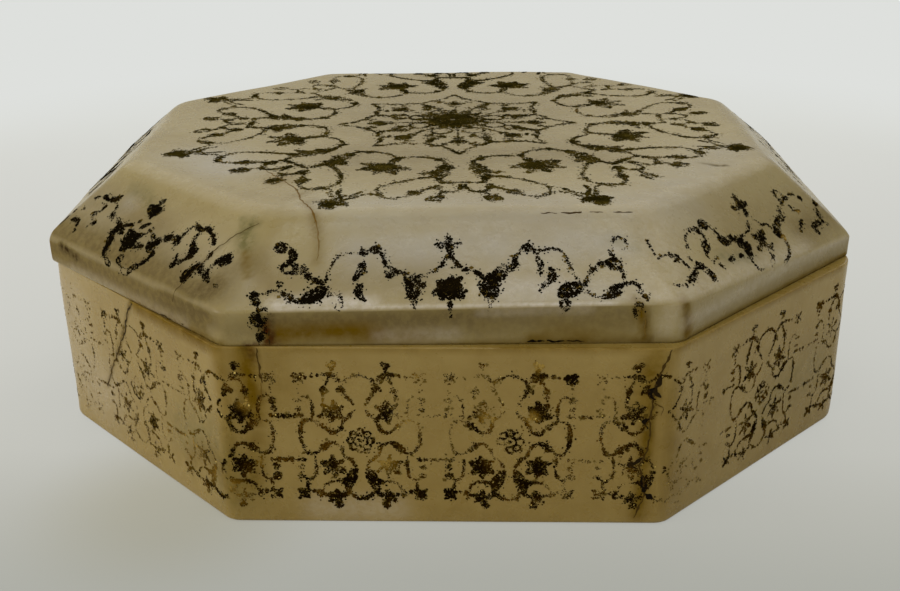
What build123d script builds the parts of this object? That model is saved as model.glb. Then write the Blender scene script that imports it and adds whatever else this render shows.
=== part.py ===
from build123d import *
from math import atan2, cos, hypot, pi, radians, sin, sqrt, tan
import os

# Eight-sided carved jade box with a lift-off lid and laid-on arabesque ornament.
# Millimetres. +Z is up, -Y is the front, and the origin is the centre of the flat underside.

# Stone outline, measured at the girdle, the widest line of the lid
box_width = 140.0
box_depth = 129.0
corner_cut = 36.0

# Base block
base_height = 30.4
base_setback = 0.25
floor_thickness = 5.0
foot_round = 0.8
brim_chamfer = 0.4

# Lid block
rim_height = 4.8
slope_run = 13.8
slope_rise = 11.3
rim_wall = 4.5
facet_wall = 4.5
top_wall = 4.5
edge_round = 0.6
rim_chamfer = 0.5

# How the loose lid drops over the raised lip inside the brim, and how it happens to lie
lip_thickness = 2.2
lip_clearance = 0.3
lip_headroom = 0.5
lid_turn = 1.4
lid_shift_x = -0.35
lid_shift_y = 1.3

# Laid-on ornament
layer_thickness = 0.15
line_width = 0.55
edge_margin = 1.2
wall_margin_top = 2.35
wall_margin_foot = 2.65
facet_margin_top = 3.4
facet_margin_rim = 0.8
unit_pitch = 23.0
medallion_shift_x = 1.0
medallion_shift_y = 3.2
medallion_turn = 1.0

# Drawn sizes of the three patterns, which are scaled to the fields that they fill
wall_band_drawn = 25.4
facet_band_drawn = 13.6
frieze_long_drawn = 29.6
frieze_short_drawn = 21.0
medallion_drawn = 50.7

# Worked out from the sizes above
girdle_z = base_height + rim_height
top_z = girdle_z + slope_rise
slope_angle = atan2(slope_rise, slope_run)
slope_length = hypot(slope_run, slope_rise)
facet_drop = facet_wall / cos(slope_angle)
knee_z = girdle_z + rim_wall * tan(slope_angle) - facet_drop
ceiling_z = top_z - top_wall
ceiling_inset = (ceiling_z - girdle_z + facet_drop) / tan(slope_angle)
lip_height = knee_z - base_height - lip_headroom
longest_half_side = max(box_width, box_depth) / 2 - corner_cut
lid_slack = longest_half_side * sin(radians(abs(lid_turn))) + hypot(lid_shift_x, lid_shift_y)
lip_inset = rim_wall + lip_clearance + lid_slack
hollow_inset = lip_inset + lip_thickness

side_names = ["front", "front_right", "right", "back_right", "back", "back_left", "left", "front_left"]


def corners(inset):
    """The eight corners, anticlockwise from the left end of the front, with every side moved in by inset."""
    x = box_width / 2 - inset
    y = box_depth / 2 - inset
    cut = corner_cut - inset * (2 - sqrt(2))
    return [
        (cut - x, -y), (x - cut, -y), (x, cut - y), (x, y - cut),
        (x - cut, y), (cut - x, y), (-x, y - cut), (-x, cut - y),
    ]


def outline(inset, z):
    return Pos(0, 0, z) * Polygon(*corners(inset), align=None)


def prism(inset, z_low, z_high):
    return extrude(outline(inset, z_low), z_high - z_low)


def frustum(inset_low, z_low, inset_high, z_high):
    return loft([outline(inset_low, z_low).face(), outline(inset_high, z_high).face()], ruled=True)


def edges_at(solid, z):
    """Outer edges that lie in the level plane at height z."""
    level = solid.edges().filter_by(lambda edge: abs(edge.center().Z - z) < 0.01)
    return level.filter_by(lambda edge: abs(edge.bounding_box().size.Z) < 0.01)


def upright_edges(solid):
    return solid.edges().filter_by(Axis.Z)


def make_base():
    """One jade block: rounded foot, chamfered brim, raised lip and an eight-sided hollow."""
    block = prism(base_setback, 0, base_height)
    block = chamfer(edges_at(block, base_height), brim_chamfer)
    block = fillet(upright_edges(block) + edges_at(block, 0), foot_round)
    block += prism(lip_inset, base_height, base_height + lip_height)
    block -= prism(hollow_inset, floor_thickness, base_height + lip_height + 1)
    return block


def make_lid():
    """One jade block: upright rim, eight sloping facets, flat top, hollowed from below."""
    block = prism(0, base_height, girdle_z) + frustum(0, girdle_z, slope_run, top_z)
    block = chamfer(edges_at(block, base_height), rim_chamfer)
    block = fillet(edges_at(block, girdle_z) + edges_at(block, top_z), edge_round)
    block -= prism(rim_wall, base_height - 1, knee_z)
    block -= frustum(rim_wall, knee_z, ceiling_inset, ceiling_z)
    return block


def lie_of_lid(shape):
    """Put something drawn on the centred lid where the loose lid really lies."""
    return Location((lid_shift_x, lid_shift_y, 0), (0, 0, lid_turn)) * shape


def leaf(x, y, heading, length, width):
    """A pointed leaf between two arcs, from (x, y) towards heading in degrees."""
    a = radians(heading)
    tip = (x + length * cos(a), y + length * sin(a))
    mid = ((x + tip[0]) / 2, (y + tip[1]) / 2)
    side = (-sin(a) * width / 2, cos(a) * width / 2)
    left = ThreePointArc((x, y), (mid[0] + side[0], mid[1] + side[1]), tip)
    right = ThreePointArc(tip, (mid[0] - side[0], mid[1] - side[1]), (x, y))
    return make_face([left, right])


def vine(start, middle, end):
    """A round-ended line of the brush along an arc through three points."""
    return SlotArc(ThreePointArc(start, middle, end), line_width)


def bar(start, end, width):
    return SlotCenterToCenter(hypot(end[0] - start[0], end[1] - start[1]), width).moved(
        Location(
            ((start[0] + end[0]) / 2, (start[1] + end[1]) / 2, 0),
            (0, 0, atan2(end[1] - start[1], end[0] - start[0]) * 180 / pi),
        )
    )


def bud(x, y, radius):
    return Pos(x, y) * Circle(radius)


def ring(x, y, radius):
    return bud(x, y, radius + line_width / 2) - bud(x, y, radius - line_width / 2)


def fan(x, y, headings, length, width):
    """Leaves that spread from one point, as in a palmette, a lily or a rosette."""
    return [leaf(x, y, heading, length, width) for heading in headings]


def joined(faces):
    """One sketch of all the faces, with what overlaps run together."""
    drawn = Sketch() + faces[0]
    return drawn + faces[1:] if len(faces) > 1 else drawn


def mirrored(faces):
    return faces + [mirror(face, Plane.YZ) for face in faces]


def eightfold(drawn, first=0.0):
    return [Rot(0, 0, first + 45 * k) * drawn for k in range(8)]


def medallion_fields():
    """The five fields of the lid's top, drawn with their first unit towards the front."""
    rosette = [bud(0, 0, 3.6)]
    rosette += fan(0, 0, [22.5 * k for k in range(16)], 6.4, 1.5)
    rosette += [Rot(0, 0, 22.5 + 45 * k) * ring(8.2, 0, 1.9) for k in range(8)]

    star = mirrored([
        bar((0, -23.2), (1.2, -20.3), line_width),
        bar((1.2, -20.3), (2.6, -20.4), line_width),
        bar((2.6, -20.4), (3.1, -18.6), line_width),
        vine((3.1, -18.6), (4.9, -17.2), (6.0, -14.4)),
        leaf(5.2, -14.9, 98, 4.6, 1.5),
    ])
    star += fan(0, -15.6, [0, 90, 180, 270], 1.9, 1.3)
    star = joined(eightfold(joined(star)))

    lily = joined(
        fan(0, -31.0, [-135, -70, -110, -45], 5.6, 2.0)
        + fan(0, -31.0, [150, 30, 90], 5.0, 1.9)
        + [bud(0, -30.6, 2.0)]
    )
    lilies = eightfold(lily, 22.5)

    arch = mirrored([
        leaf(2.9, -28.5, 285, 8.0, 2.6),
        leaf(4.2, -34.0, 345, 4.6, 1.6),
        bar((4.3, -35.6), (4.1, -40.2), 0.9),
    ])
    arch += [bar((-4.1, -40.3), (4.1, -40.3), 0.9)]
    arch = joined(arch)
    arches = eightfold(arch)

    vines = mirrored([
        vine((2.9, -28.6), (4.6, -25.3), (10.0, -25.2)),
        vine((5.5, -36.4), (13.2, -40.3), (14.2, -46.6)),
        leaf(14.3, -46.4, 285, 2.0, 1.3),
        vine((14.0, -46.8), (11.6, -48.2), (8.6, -46.6)),
        leaf(8.8, -46.8, 60, 3.0, 1.3),
        vine((4.3, -40.6), (4.6, -44.0), (2.4, -46.2)),
        vine((2.4, -46.2), (0.6, -45.2), (0.0, -42.0)),
        ring(4.4, -49.0, 1.0),
        bud(0, -42.8, 0.7),
    ])
    vines = joined(vines)
    finial = joined(
        [bar((0, -46.2), (0, -51.5), line_width)]
        + fan(0, -51.4, [205, 270, 335], 3.2, 1.5)
    )
    vines = joined(eightfold(vines) + eightfold(finial, 22.5))
    for cut in arches + lilies:
        vines -= cut
    return {
        "lid_rosette": [joined(rosette)],
        "lid_star": [star],
        "lid_lilies": lilies,
        "lid_arches": arches,
        "lid_vines": [vines],
    }


def facet_frieze(half_length, long_side):
    """A palmette under a finial, with tulips, arcs and leaves each side, and end scrolls on a long side.

    A side too short for the drawing gets its stems closer together, and each stroke keeps its weight.
    """
    closeness = min(1.0, half_length / (frieze_long_drawn if long_side else frieze_short_drawn))

    def stem(*stops):
        return vine(*[(x * closeness, y) for x, y in stops])

    def blade(x, y, *shape):
        return leaf(x * closeness, y, *shape)

    drawn = fan(0, 3.2, [30, 60, 90, 120, 150], 3.4, 1.5) + fan(0, 4.4, [200, 250, 290, 340], 2.6, 1.3)
    drawn += [bud(0, 4.0, 1.2)]
    drawn += fan(0, 10.6, [90, 160, 20], 2.8, 1.3)
    drawn += mirrored([
        stem((0, 10.4), (0.7, 9.4), (1.7, 8.2)),
        stem((1.7, 8.2), (3.4, 7.6), (5.2, 6.0)),
        blade(5.3, 0.9, 72, 5.8, 1.9),
        blade(5.3, 0.9, 112, 4.6, 1.5),
        stem((6.6, 5.8), (9.2, 8.0), (10.8, 10.8)),
        blade(10.6, 10.9, 10, 2.8, 1.6),
        stem((12.6, 10.6), (16.4, 10.0), (18.4, 5.6)),
        bar((12.9 * closeness, 10.2), (13.2 * closeness, 7.2), line_width),
        blade(13.4, 8.2, 250, 3.6, 1.7),
        blade(12.8, 5.2, 260, 2.6, 1.3),
        blade(19.8, 4.6, 195, 4.0, 1.9),
    ])
    if long_side:
        drawn += mirrored([
            stem((18.6, 3.9), (21.8, 2.5), (25.2, 4.4)),
            blade(22.8, 2.3, 50, 3.2, 1.8),
            stem((19.2, 4.8), (20.4, 7.4), (23.4, 8.6)),
            blade(23.0, 8.6, 340, 2.6, 1.9),
            stem((25.2, 7.8), (25.6, 6.0), (25.2, 4.6)),
            stem((25.2, 4.4), (27.6, 4.2), (28.4, 2.0)),
            stem((23.8, 8.9), (24.0, 12.0), (26.0, 12.0)),
            blade(26.0, 12.3, 240, 2.4, 1.4),
        ])
    return joined(drawn)


def lattice_half_unit():
    """The right half of one lattice unit: C scroll, two lilies, side loops, tulip leaf and trefoils."""
    return (
        [
            vine((0.9, -4.6), (1.9, -3.1), (2.7, -2.4)),
            vine((2.7, -2.4), (4.4, -0.4), (6.2, -2.0)),
            vine((6.2, -2.0), (9.3, 0.5), (6.2, 3.0)),
            vine((6.2, 3.0), (4.4, 1.4), (2.7, 3.2)),
            vine((2.7, 3.2), (1.8, 4.1), (0.9, 5.4)),
            leaf(4.9, -1.0, 322, 2.7, 1.3),
            leaf(4.9, 2.0, 38, 2.7, 1.3),
            vine((7.2, -2.4), (7.2, -6.4), (9.3, -5.0)),
            vine((7.2, 3.4), (7.2, 7.2), (9.3, 6.0)),
            bud(9.3, -4.2, 0.8),
            bud(9.3, 5.2, 0.8),
            leaf(0.9, -5.4, 295, 4.2, 1.9),
            vine((2.9, -7.2), (5.0, -7.2), (6.1, -8.9)),
            vine((2.4, -8.8), (1.3, -9.8), (0.1, -10.0)),
            leaf(2.2, -9.0, 335, 3.8, 1.3),
            ring(3.9, -11.1, 0.7),
            leaf(6.0, -8.8, 285, 1.8, 1.1),
            vine((2.5, 9.8), (1.3, 10.8), (0.1, 11.3)),
            vine((2.5, 9.8), (2.4, 8.4), (1.2, 7.2)),
            leaf(2.6, 10.0, 40, 2.4, 1.1),
            ring(4.1, 12.5, 0.7),
            vine((5.4, 9.6), (5.6, 8.0), (5.2, 6.8)),
        ]
        + fan(3.9, -4.0, [200, 255, 300, 345, 40], 2.3, 1.1)
        + fan(3.9, 5.0, [160, 105, 60, 15, 320], 2.3, 1.1)
        + [bud(9.2 + dx, y + dy, 0.5) for y in (-9.4, 10.4) for dx, dy in ((0, 0.7), (0.7, 0), (0, -0.7), (-0.7, 0))]
    )


def wall_lattice(length):
    """Lattice units along one wall: whole ones between, and a half one at each corner."""
    count = max(1, round(length / unit_pitch))
    pitch = length / count
    right = lattice_half_unit()
    left = [mirror(face, Plane.YZ) for face in right]
    petals = [Rot(0, 0, 45 * k) * ring(1.45, 0, 0.55) for k in range(8)]
    drawn = [Pos(-length / 2, 0) * face for face in right]
    drawn += [Pos(length / 2, 0) * face for face in left]
    for k in range(1, count):
        drawn += [Pos(k * pitch - length / 2, 0) * face for face in left + right + petals]
    return joined(drawn)


def rectangle_between(x_low, x_high, y_low, y_high):
    return Pos((x_low + x_high) / 2, (y_low + y_high) / 2) * Rectangle(x_high - x_low, y_high - y_low)


def side_plane(first, second, inset_low, z_low, inset_high, z_high):
    """A plane on one side of the stone: x along the side, y up it, z outwards."""
    low = [Vector(*corners(inset_low)[k], z_low) for k in (first, second)]
    high = [Vector(*corners(inset_high)[k], z_high) for k in (first, second)]
    along = (low[1] - low[0]).normalized()
    up = ((high[0] + high[1]) * 0.5 - (low[0] + low[1]) * 0.5).normalized()
    return Plane(origin=(low[0] + low[1]) * 0.5, x_dir=along, z_dir=along.cross(up))


def side_length(first, second, inset):
    a, b = corners(inset)[first], corners(inset)[second]
    return hypot(b[0] - a[0], b[1] - a[1])


def layer(drawn, plane):
    """Lay a drawn field on a face of the stone, as a group of thin solids."""
    return [plane * extrude(face, layer_thickness) for face in drawn.faces()]


def save(name, shapes):
    whole = shapes[0] if len(shapes) == 1 else Compound(children=shapes)
    whole.label = name
    export_step(whole, f"parts/{name}.step")
    print(name, len(whole.solids()), "solids", round(sum(s.volume for s in whole.solids()), 2), "mm3")


save("base", [make_base()])
save("lid", [lie_of_lid(make_lid())])

medallion_scale = (min(box_width, box_depth) / 2 - slope_run) / medallion_drawn
top_field = outline(slope_run + edge_margin, 0)
medallion_place = Location((medallion_shift_x, medallion_shift_y, 0), (0, 0, medallion_turn))
for name, drawings in medallion_fields().items():
    solids = []
    for drawing in drawings:
        placed = medallion_place * scale(drawing, medallion_scale)
        solids += layer(placed & top_field, Plane.XY.offset(top_z))
    save(name, [lie_of_lid(solid) for solid in solids])

facet_scale = (slope_length - facet_margin_top - facet_margin_rim) / facet_band_drawn
for k, side in enumerate(side_names):
    ends = (k, (k + 1) % 8)
    plane = side_plane(*ends, 0, girdle_z, slope_run, top_z)
    half = side_length(*ends, 0) / 2
    long_side = side in ("front", "back")
    frieze = Pos(0, facet_margin_rim) * scale(facet_frieze(half / facet_scale, long_side), facet_scale)
    save(f"facet_{side}", [lie_of_lid(solid) for solid in layer(frieze, plane)])

wall_scale = (base_height - wall_margin_top - wall_margin_foot) / wall_band_drawn
for k, side in enumerate(side_names):
    ends = (k, (k + 1) % 8)
    plane = side_plane(*ends, base_setback, 0, base_setback, base_height)
    length = side_length(*ends, base_setback)
    field = rectangle_between(
        edge_margin - length / 2, length / 2 - edge_margin, wall_margin_foot, base_height - wall_margin_top
    )
    lattice = Pos(0, wall_margin_foot + 12.1 * wall_scale) * scale(wall_lattice(length / wall_scale), wall_scale)
    save(f"wall_{side}", layer(lattice & field, plane))
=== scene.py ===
from math import atan2, cos, hypot, pi, radians, sin, sqrt, tan

import bpy
import numpy as np
from mathutils import Matrix, Vector, noise
from mathutils.bvhtree import BVHTree


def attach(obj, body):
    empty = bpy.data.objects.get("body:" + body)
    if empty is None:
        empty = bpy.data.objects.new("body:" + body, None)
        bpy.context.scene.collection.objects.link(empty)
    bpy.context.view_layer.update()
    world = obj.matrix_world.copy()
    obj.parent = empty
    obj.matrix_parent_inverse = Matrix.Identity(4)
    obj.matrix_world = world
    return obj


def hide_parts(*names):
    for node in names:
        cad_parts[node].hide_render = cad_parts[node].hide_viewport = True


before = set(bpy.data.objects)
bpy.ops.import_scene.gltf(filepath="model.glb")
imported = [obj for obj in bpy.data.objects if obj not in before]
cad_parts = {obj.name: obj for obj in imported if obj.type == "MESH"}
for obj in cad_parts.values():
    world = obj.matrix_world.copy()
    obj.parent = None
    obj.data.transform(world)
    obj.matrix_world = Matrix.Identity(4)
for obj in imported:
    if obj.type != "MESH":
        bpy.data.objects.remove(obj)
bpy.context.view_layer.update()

# The shelf and the light
# A pale, faintly glossy display shelf in a pale case, lit from above and a little behind by soft lamps.
# The camera stands close in front, as a visitor's does, so the near facets loom.
MM = 0.001


def nodes_of(material):
    material.use_nodes = True
    return material.node_tree.nodes, material.node_tree.links


def srgb(red, green, blue):
    """A colour as it is read off a screen, 0 to 255, turned into the light values that shaders take."""
    shares = [shade / 255 for shade in (red, green, blue)]
    return (*(((c + 0.055) / 1.055) ** 2.4 if c > 10 / 255 else c / 12.92 for c in shares), 1.0)


case_white = srgb(222, 224, 221)
shelf_white = srgb(218, 216, 206)
shelf_half = 0.9
shelf_fade_near = 0.19
shelf_fade_far = 0.30
shelf_glow_share = 0.8
# The shelf's colour as the camera sees it, darker towards the front: painted shade.
shelf_painted_shade = [
    (-0.095, srgb(158, 160, 154)), (-0.078, srgb(168, 170, 163)), (-0.060, srgb(181, 182, 175)),
    (-0.042, srgb(194, 195, 189)), (0.0, srgb(203, 204, 199)), (0.1, srgb(211, 212, 208)),
    (0.2, srgb(219, 221, 217)),
]
# Painted shadow and reflection: a warmer, darker soft patch on the shelf in front of the stone's left side.
painted_shadow_place = (-0.044, -0.060, 0)
painted_shadow_near, painted_shadow_far = 0.004, 0.030
painted_shadow_tint = (0.83, 0.80, 0.70, 1.0)

shelf_material = bpy.data.materials.new("pale shelf")
nodes, links = nodes_of(shelf_material)
paint = nodes["Principled BSDF"]
paint.inputs["Base Color"].default_value = shelf_white
paint.inputs["Roughness"].default_value = 0.6
paint.inputs["Specular IOR Level"].default_value = 0.12
place = nodes.new("ShaderNodeTexCoord")
reach = nodes.new("ShaderNodeVectorMath")
reach.operation = "LENGTH"
links.new(place.outputs["Object"], reach.inputs[0])
fade = nodes.new("ShaderNodeMapRange")
fade.interpolation_type = "SMOOTHSTEP"
fade.inputs["From Min"].default_value = shelf_fade_near
fade.inputs["From Max"].default_value = shelf_fade_far
links.new(reach.outputs["Value"], fade.inputs["Value"])
apart = nodes.new("ShaderNodeSeparateXYZ")
links.new(place.outputs["Object"], apart.inputs["Vector"])
depth = nodes.new("ShaderNodeMapRange")
depth.inputs["From Min"].default_value = shelf_painted_shade[0][0]
depth.inputs["From Max"].default_value = shelf_painted_shade[-1][0]
links.new(apart.outputs["Y"], depth.inputs["Value"])
shades = nodes.new("ShaderNodeValToRGB")
shelf_span = shelf_painted_shade[-1][0] - shelf_painted_shade[0][0]
while len(shades.color_ramp.elements) < len(shelf_painted_shade):
    shades.color_ramp.elements.new(1.0)
for stop, (y, shade) in zip(shades.color_ramp.elements, shelf_painted_shade):
    stop.position = (y - shelf_painted_shade[0][0]) / shelf_span
    stop.color = shade
links.new(depth.outputs["Result"], shades.inputs["Fac"])
# The painted shadow and reflection in front of the stone's left side, multiplied into the shelf's colour.
aside = nodes.new("ShaderNodeVectorMath")
aside.operation = "DISTANCE"
links.new(place.outputs["Object"], aside.inputs[0])
aside.inputs[1].default_value = painted_shadow_place
warmth = nodes.new("ShaderNodeMapRange")
warmth.interpolation_type = "SMOOTHSTEP"
warmth.inputs["From Min"].default_value = painted_shadow_near
warmth.inputs["From Max"].default_value = painted_shadow_far
warmth.inputs["To Min"].default_value = 1.0
warmth.inputs["To Max"].default_value = 0.0
links.new(aside.outputs["Value"], warmth.inputs["Value"])
painted_shadow_mix = nodes.new("ShaderNodeMix")
painted_shadow_mix.data_type, painted_shadow_mix.blend_type = "RGBA", "MULTIPLY"
links.new(warmth.outputs["Result"], painted_shadow_mix.inputs[0])
links.new(shades.outputs["Color"], painted_shadow_mix.inputs[6])
painted_shadow_mix.inputs[7].default_value = painted_shadow_tint
near_glow = nodes.new("ShaderNodeEmission")
links.new(painted_shadow_mix.outputs[2], near_glow.inputs["Color"])
look = nodes.new("ShaderNodeLightPath")
glow_share = nodes.new("ShaderNodeMath")
glow_share.operation = "MULTIPLY"
glow_share.inputs[1].default_value = shelf_glow_share
links.new(look.outputs["Is Camera Ray"], glow_share.inputs[0])
near = nodes.new("ShaderNodeMixShader")
links.new(glow_share.outputs["Value"], near.inputs["Fac"])
links.new(paint.outputs["BSDF"], near.inputs[1])
links.new(near_glow.outputs["Emission"], near.inputs[2])
beyond = nodes.new("ShaderNodeEmission")
beyond.inputs["Color"].default_value = case_white
blend = nodes.new("ShaderNodeMixShader")
links.new(fade.outputs["Result"], blend.inputs["Fac"])
links.new(near.outputs["Shader"], blend.inputs[1])
links.new(beyond.outputs["Emission"], blend.inputs[2])
links.new(blend.outputs["Shader"], nodes["Material Output"].inputs["Surface"])

shelf_mesh = bpy.data.meshes.new("shelf")
shelf_corners = [(x * shelf_half, y * shelf_half, 0) for x, y in ((-1, -1), (1, -1), (1, 1), (-1, 1))]
shelf_mesh.from_pydata(shelf_corners, [], [(0, 1, 2, 3)])
shelf_mesh.materials.append(shelf_material)
shelf = bpy.data.objects.new("shelf", shelf_mesh)
bpy.context.scene.collection.objects.link(shelf)

world = bpy.data.worlds.new("display case")
bpy.context.scene.world = world
world.use_nodes = True
nodes, links = world.node_tree.nodes, world.node_tree.links
glow = nodes["Background"]
glow.inputs["Color"].default_value = (0.97, 0.96, 0.91, 1.0)
glow.inputs["Strength"].default_value = 0.5
seen = nodes.new("ShaderNodeBackground")
seen.inputs["Color"].default_value = case_white
rays = nodes.new("ShaderNodeLightPath")
either = nodes.new("ShaderNodeMath")
either.operation = "MAXIMUM"
links.new(rays.outputs["Is Camera Ray"], either.inputs[0])
links.new(rays.outputs["Is Transmission Ray"], either.inputs[1])
mix = nodes.new("ShaderNodeMixShader")
links.new(either.outputs["Value"], mix.inputs["Fac"])
links.new(glow.outputs["Background"], mix.inputs[1])
links.new(seen.outputs["Background"], mix.inputs[2])
links.new(mix.outputs["Shader"], nodes["World Output"].inputs["Surface"])


def soft_lamp(name, place, aim, width, depth, power, colour):
    data = bpy.data.lights.new(name, "AREA")
    data.shape = "RECTANGLE"
    data.size, data.size_y = width, depth
    data.energy, data.color = power, colour
    lamp = bpy.data.objects.new(name, data)
    lamp.location = place
    lamp.rotation_euler = (Vector(aim) - Vector(place)).to_track_quat("-Z", "Y").to_euler()
    bpy.context.scene.collection.objects.link(lamp)


soft_lamp("case lamp", (0.04, -0.15, 0.60), (0, -0.05, 0.03), 0.36, 0.16, 0.55, (0.97, 0.98, 1.0))
soft_lamp("front strip", (-0.1, -0.52, 0.74), (0, 0, 0.03), 0.5, 0.05, 0.5, (1.0, 0.99, 0.96))
soft_lamp("room lamp", (-0.55, -0.24, 0.16), (0, 0, 0.03), 0.4, 0.3, 1.15, (1.0, 0.96, 0.91))
soft_lamp("back lamp", (0.0, 0.40, 0.50), (0, 0, 0.04), 1.1, 0.6, 1.5, (1.0, 0.98, 0.92))

camera_place = Vector((4.711, -219.672, 103.792)) * MM
camera_yaw, camera_pitch, camera_roll = radians(-1.42), radians(-22.70), radians(-0.42)
camera_lens = 46.85

camera_data = bpy.data.cameras.new("visitor")
camera_data.sensor_width = 36
camera_data.lens = camera_lens
camera_data.clip_start, camera_data.clip_end = 0.01, 20
camera = bpy.data.objects.new("visitor", camera_data)
ahead = Vector((sin(camera_yaw) * cos(camera_pitch), cos(camera_yaw) * cos(camera_pitch), sin(camera_pitch)))
level = Vector((cos(camera_yaw), -sin(camera_yaw), 0))
above = level.cross(ahead)
across = cos(camera_roll) * level + sin(camera_roll) * above
upward = cos(camera_roll) * above - sin(camera_roll) * level
camera_axes = Matrix((across, upward, -ahead)).transposed()
camera.matrix_world = Matrix.Translation(camera_place) @ camera_axes.to_4x4()
bpy.context.scene.collection.objects.link(camera)
bpy.context.scene.camera = camera
bpy.context.scene.view_settings.view_transform = "Standard"

# The base block
# One block of yellowish jade, sawn to eight sides, hollowed and polished by hand: rounded foot, bevelled
# brim and a raised lip that the lid drops over. Old iron stains and cracks run down from the brim.
half_width, half_depth = 70.0, 64.5
corner_cut = 36.0
base_height = 30.4
base_setback = 0.3
brim_bevel = 0.25
foot_round = 0.8
floor_top = 5.0
lip_outer, lip_inner, lip_top = 6.98, 9.18, 32.57
side_names = ["front", "front_right", "right", "back_right", "back", "back_left", "left", "front_left"]
side_steps = 84
corner_steps = 7


def octagon(inset):
    """The eight corners, anticlockwise from the left end of the front, with every side moved in by inset."""
    x, y = half_width - inset, half_depth - inset
    cut = corner_cut - inset * (2 - sqrt(2))
    return [
        (cut - x, -y), (x - cut, -y), (x, cut - y), (x, y - cut),
        (x - cut, y), (cut - x, y), (-x, y - cut), (-x, cut - y),
    ]


def stone_ring(inset, height, *roundings):
    """One level line round the stone, in millimetres.

    Its side corners are rounded by the first radius, its two front corners by the last.
    """
    ends = [Vector(end) for end in octagon(inset)]
    reaches = [tan(pi / 8) * (roundings[-1] if k < 2 else roundings[0]) for k in range(8)]
    ring = []
    for k in range(8):
        rounding = roundings[-1] if k < 2 else roundings[0]
        before, here, after = ends[k - 1], ends[k], ends[(k + 1) % 8]
        coming, going = (here - before).normalized(), (after - here).normalized()
        inward = Vector((-coming.y, coming.x))
        start = here - coming * reaches[k]
        for j in range(corner_steps + 1):
            a = pi / 4 * j / corner_steps
            ring.append(start + inward * rounding * (1 - cos(a)) + coming * rounding * sin(a))
        first, last = here + going * reaches[k], after - going * reaches[(k + 1) % 8]
        ring += [first.lerp(last, j / side_steps) for j in range(1, side_steps)]
    return [Vector((p.x, p.y, height)) for p in ring]


def shrunk(ring, share, height):
    return [Vector((p.x * share, p.y * share, height)) for p in ring]


def quarter(inset, height, radius, start, end, steps, *roundings):
    """Rings round a softened edge: its arc turns from start to end, in degrees, about (inset, height)."""
    rings = []
    for k in range(steps + 1):
        a = radians(start + (end - start) * k / steps)
        rings.append((inset - radius * cos(a), height + radius * sin(a), *roundings))
    return rings


# The waves that hand work leaves: how long they are and how far they swing, in millimetres. The seed keeps
# them, and the drift of the brush below, the same in every run.
noise.seed_set(1)
slow_wave, slow_swing = 23.0, 0.28
quick_wave, quick_swing = 7.0, 0.07


def hand_cut(point, still):
    """Moves a point of the polished surface by the waves of hand work; still, up to 1, holds it in place."""
    slow = noise.noise_vector(point / slow_wave)
    quick = noise.noise_vector(point / quick_wave + Vector((5, 3, 1)))
    return point + (slow * slow_swing + quick * quick_swing) * (1 - still)


def stone_mesh(name, rings, still_levels, place):
    """A closed skin over the rings, from the middle of the underside round to the middle of the hollow."""
    points, faces = [], []
    count = len(rings[0])
    for ring in rings:
        for p in ring:
            still = max([max(0, 1 - abs(p.z - level) / reach) for level, reach in still_levels])
            points.append(place @ hand_cut(p, still))
    for r in range(len(rings) - 1):
        for k in range(count):
            a, b = r * count + k, r * count + (k + 1) % count
            faces.append((a, b, b + count, a + count))
    for ring_start, flip in ((0, True), ((len(rings) - 1) * count, False)):
        middle = sum((points[ring_start + k] for k in range(count)), Vector()) / count
        points.append(middle)
        for k in range(count):
            a, b = ring_start + k, ring_start + (k + 1) % count
            faces.append((b, a, len(points) - 1) if flip else (a, b, len(points) - 1))
    mesh = bpy.data.meshes.new(name)
    mesh.from_pydata([p * MM for p in points], [], faces)
    mesh.shade_smooth()
    return mesh


def between(low, high, steps):
    """Rings spaced evenly from one (inset, height, rounding) to the next, without either end."""
    return [tuple(a + (b - a) * k / steps for a, b in zip(low, high)) for k in range(1, steps)]


base_corner = 6.5, 3.5
base_profile = [(8.0, 0, 1.5, 1.5), (base_setback + foot_round, 0, *base_corner)]
base_profile += quarter(base_setback + foot_round, foot_round, foot_round, -75, -15, 4, *base_corner)
wall_low = (base_setback, foot_round, *base_corner)
wall_high = (base_setback, base_height - brim_bevel, *base_corner)
base_profile += [wall_low] + between(wall_low, wall_high, 26)
base_profile += [wall_high]
bevel_centre = base_setback + brim_bevel, base_height - brim_bevel
base_profile += quarter(*bevel_centre, brim_bevel, 8, 82, 4, *base_corner)
base_profile += [(base_setback + brim_bevel + 0.2, base_height, *base_corner)]
base_profile += [
    (lip_outer - 0.3, base_height, 1.0), (lip_outer, base_height + 0.3, 1.0),
    (lip_outer, lip_top - 0.4, 1.0), (lip_outer + 0.4, lip_top, 1.0),
    (lip_inner - 0.4, lip_top, 1.0), (lip_inner, lip_top - 0.4, 1.0),
]
lip_side, hollow_foot = (lip_inner, lip_top - 0.8, 1.0), (lip_inner, floor_top + 1.2, 1.0)
base_profile += [lip_side] + between(lip_side, hollow_foot, 8) + [hollow_foot]
base_profile += [(lip_inner + 0.4, floor_top + 0.4, 1.0), (lip_inner + 1.2, floor_top, 1.0)]
base_rings = [stone_ring(*step) for step in base_profile]
base_rings = [shrunk(base_rings[0], share, 0) for share in (0.15, 0.6)] + base_rings
base_rings += [shrunk(base_rings[-1], share, floor_top) for share in (0.75, 0.45, 0.15)]
base_still = [(0, 1.5), (base_height, 1.5), (base_height + 3, 3.0)]
base_mesh = stone_mesh("base block", base_rings, base_still, Matrix())
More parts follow.
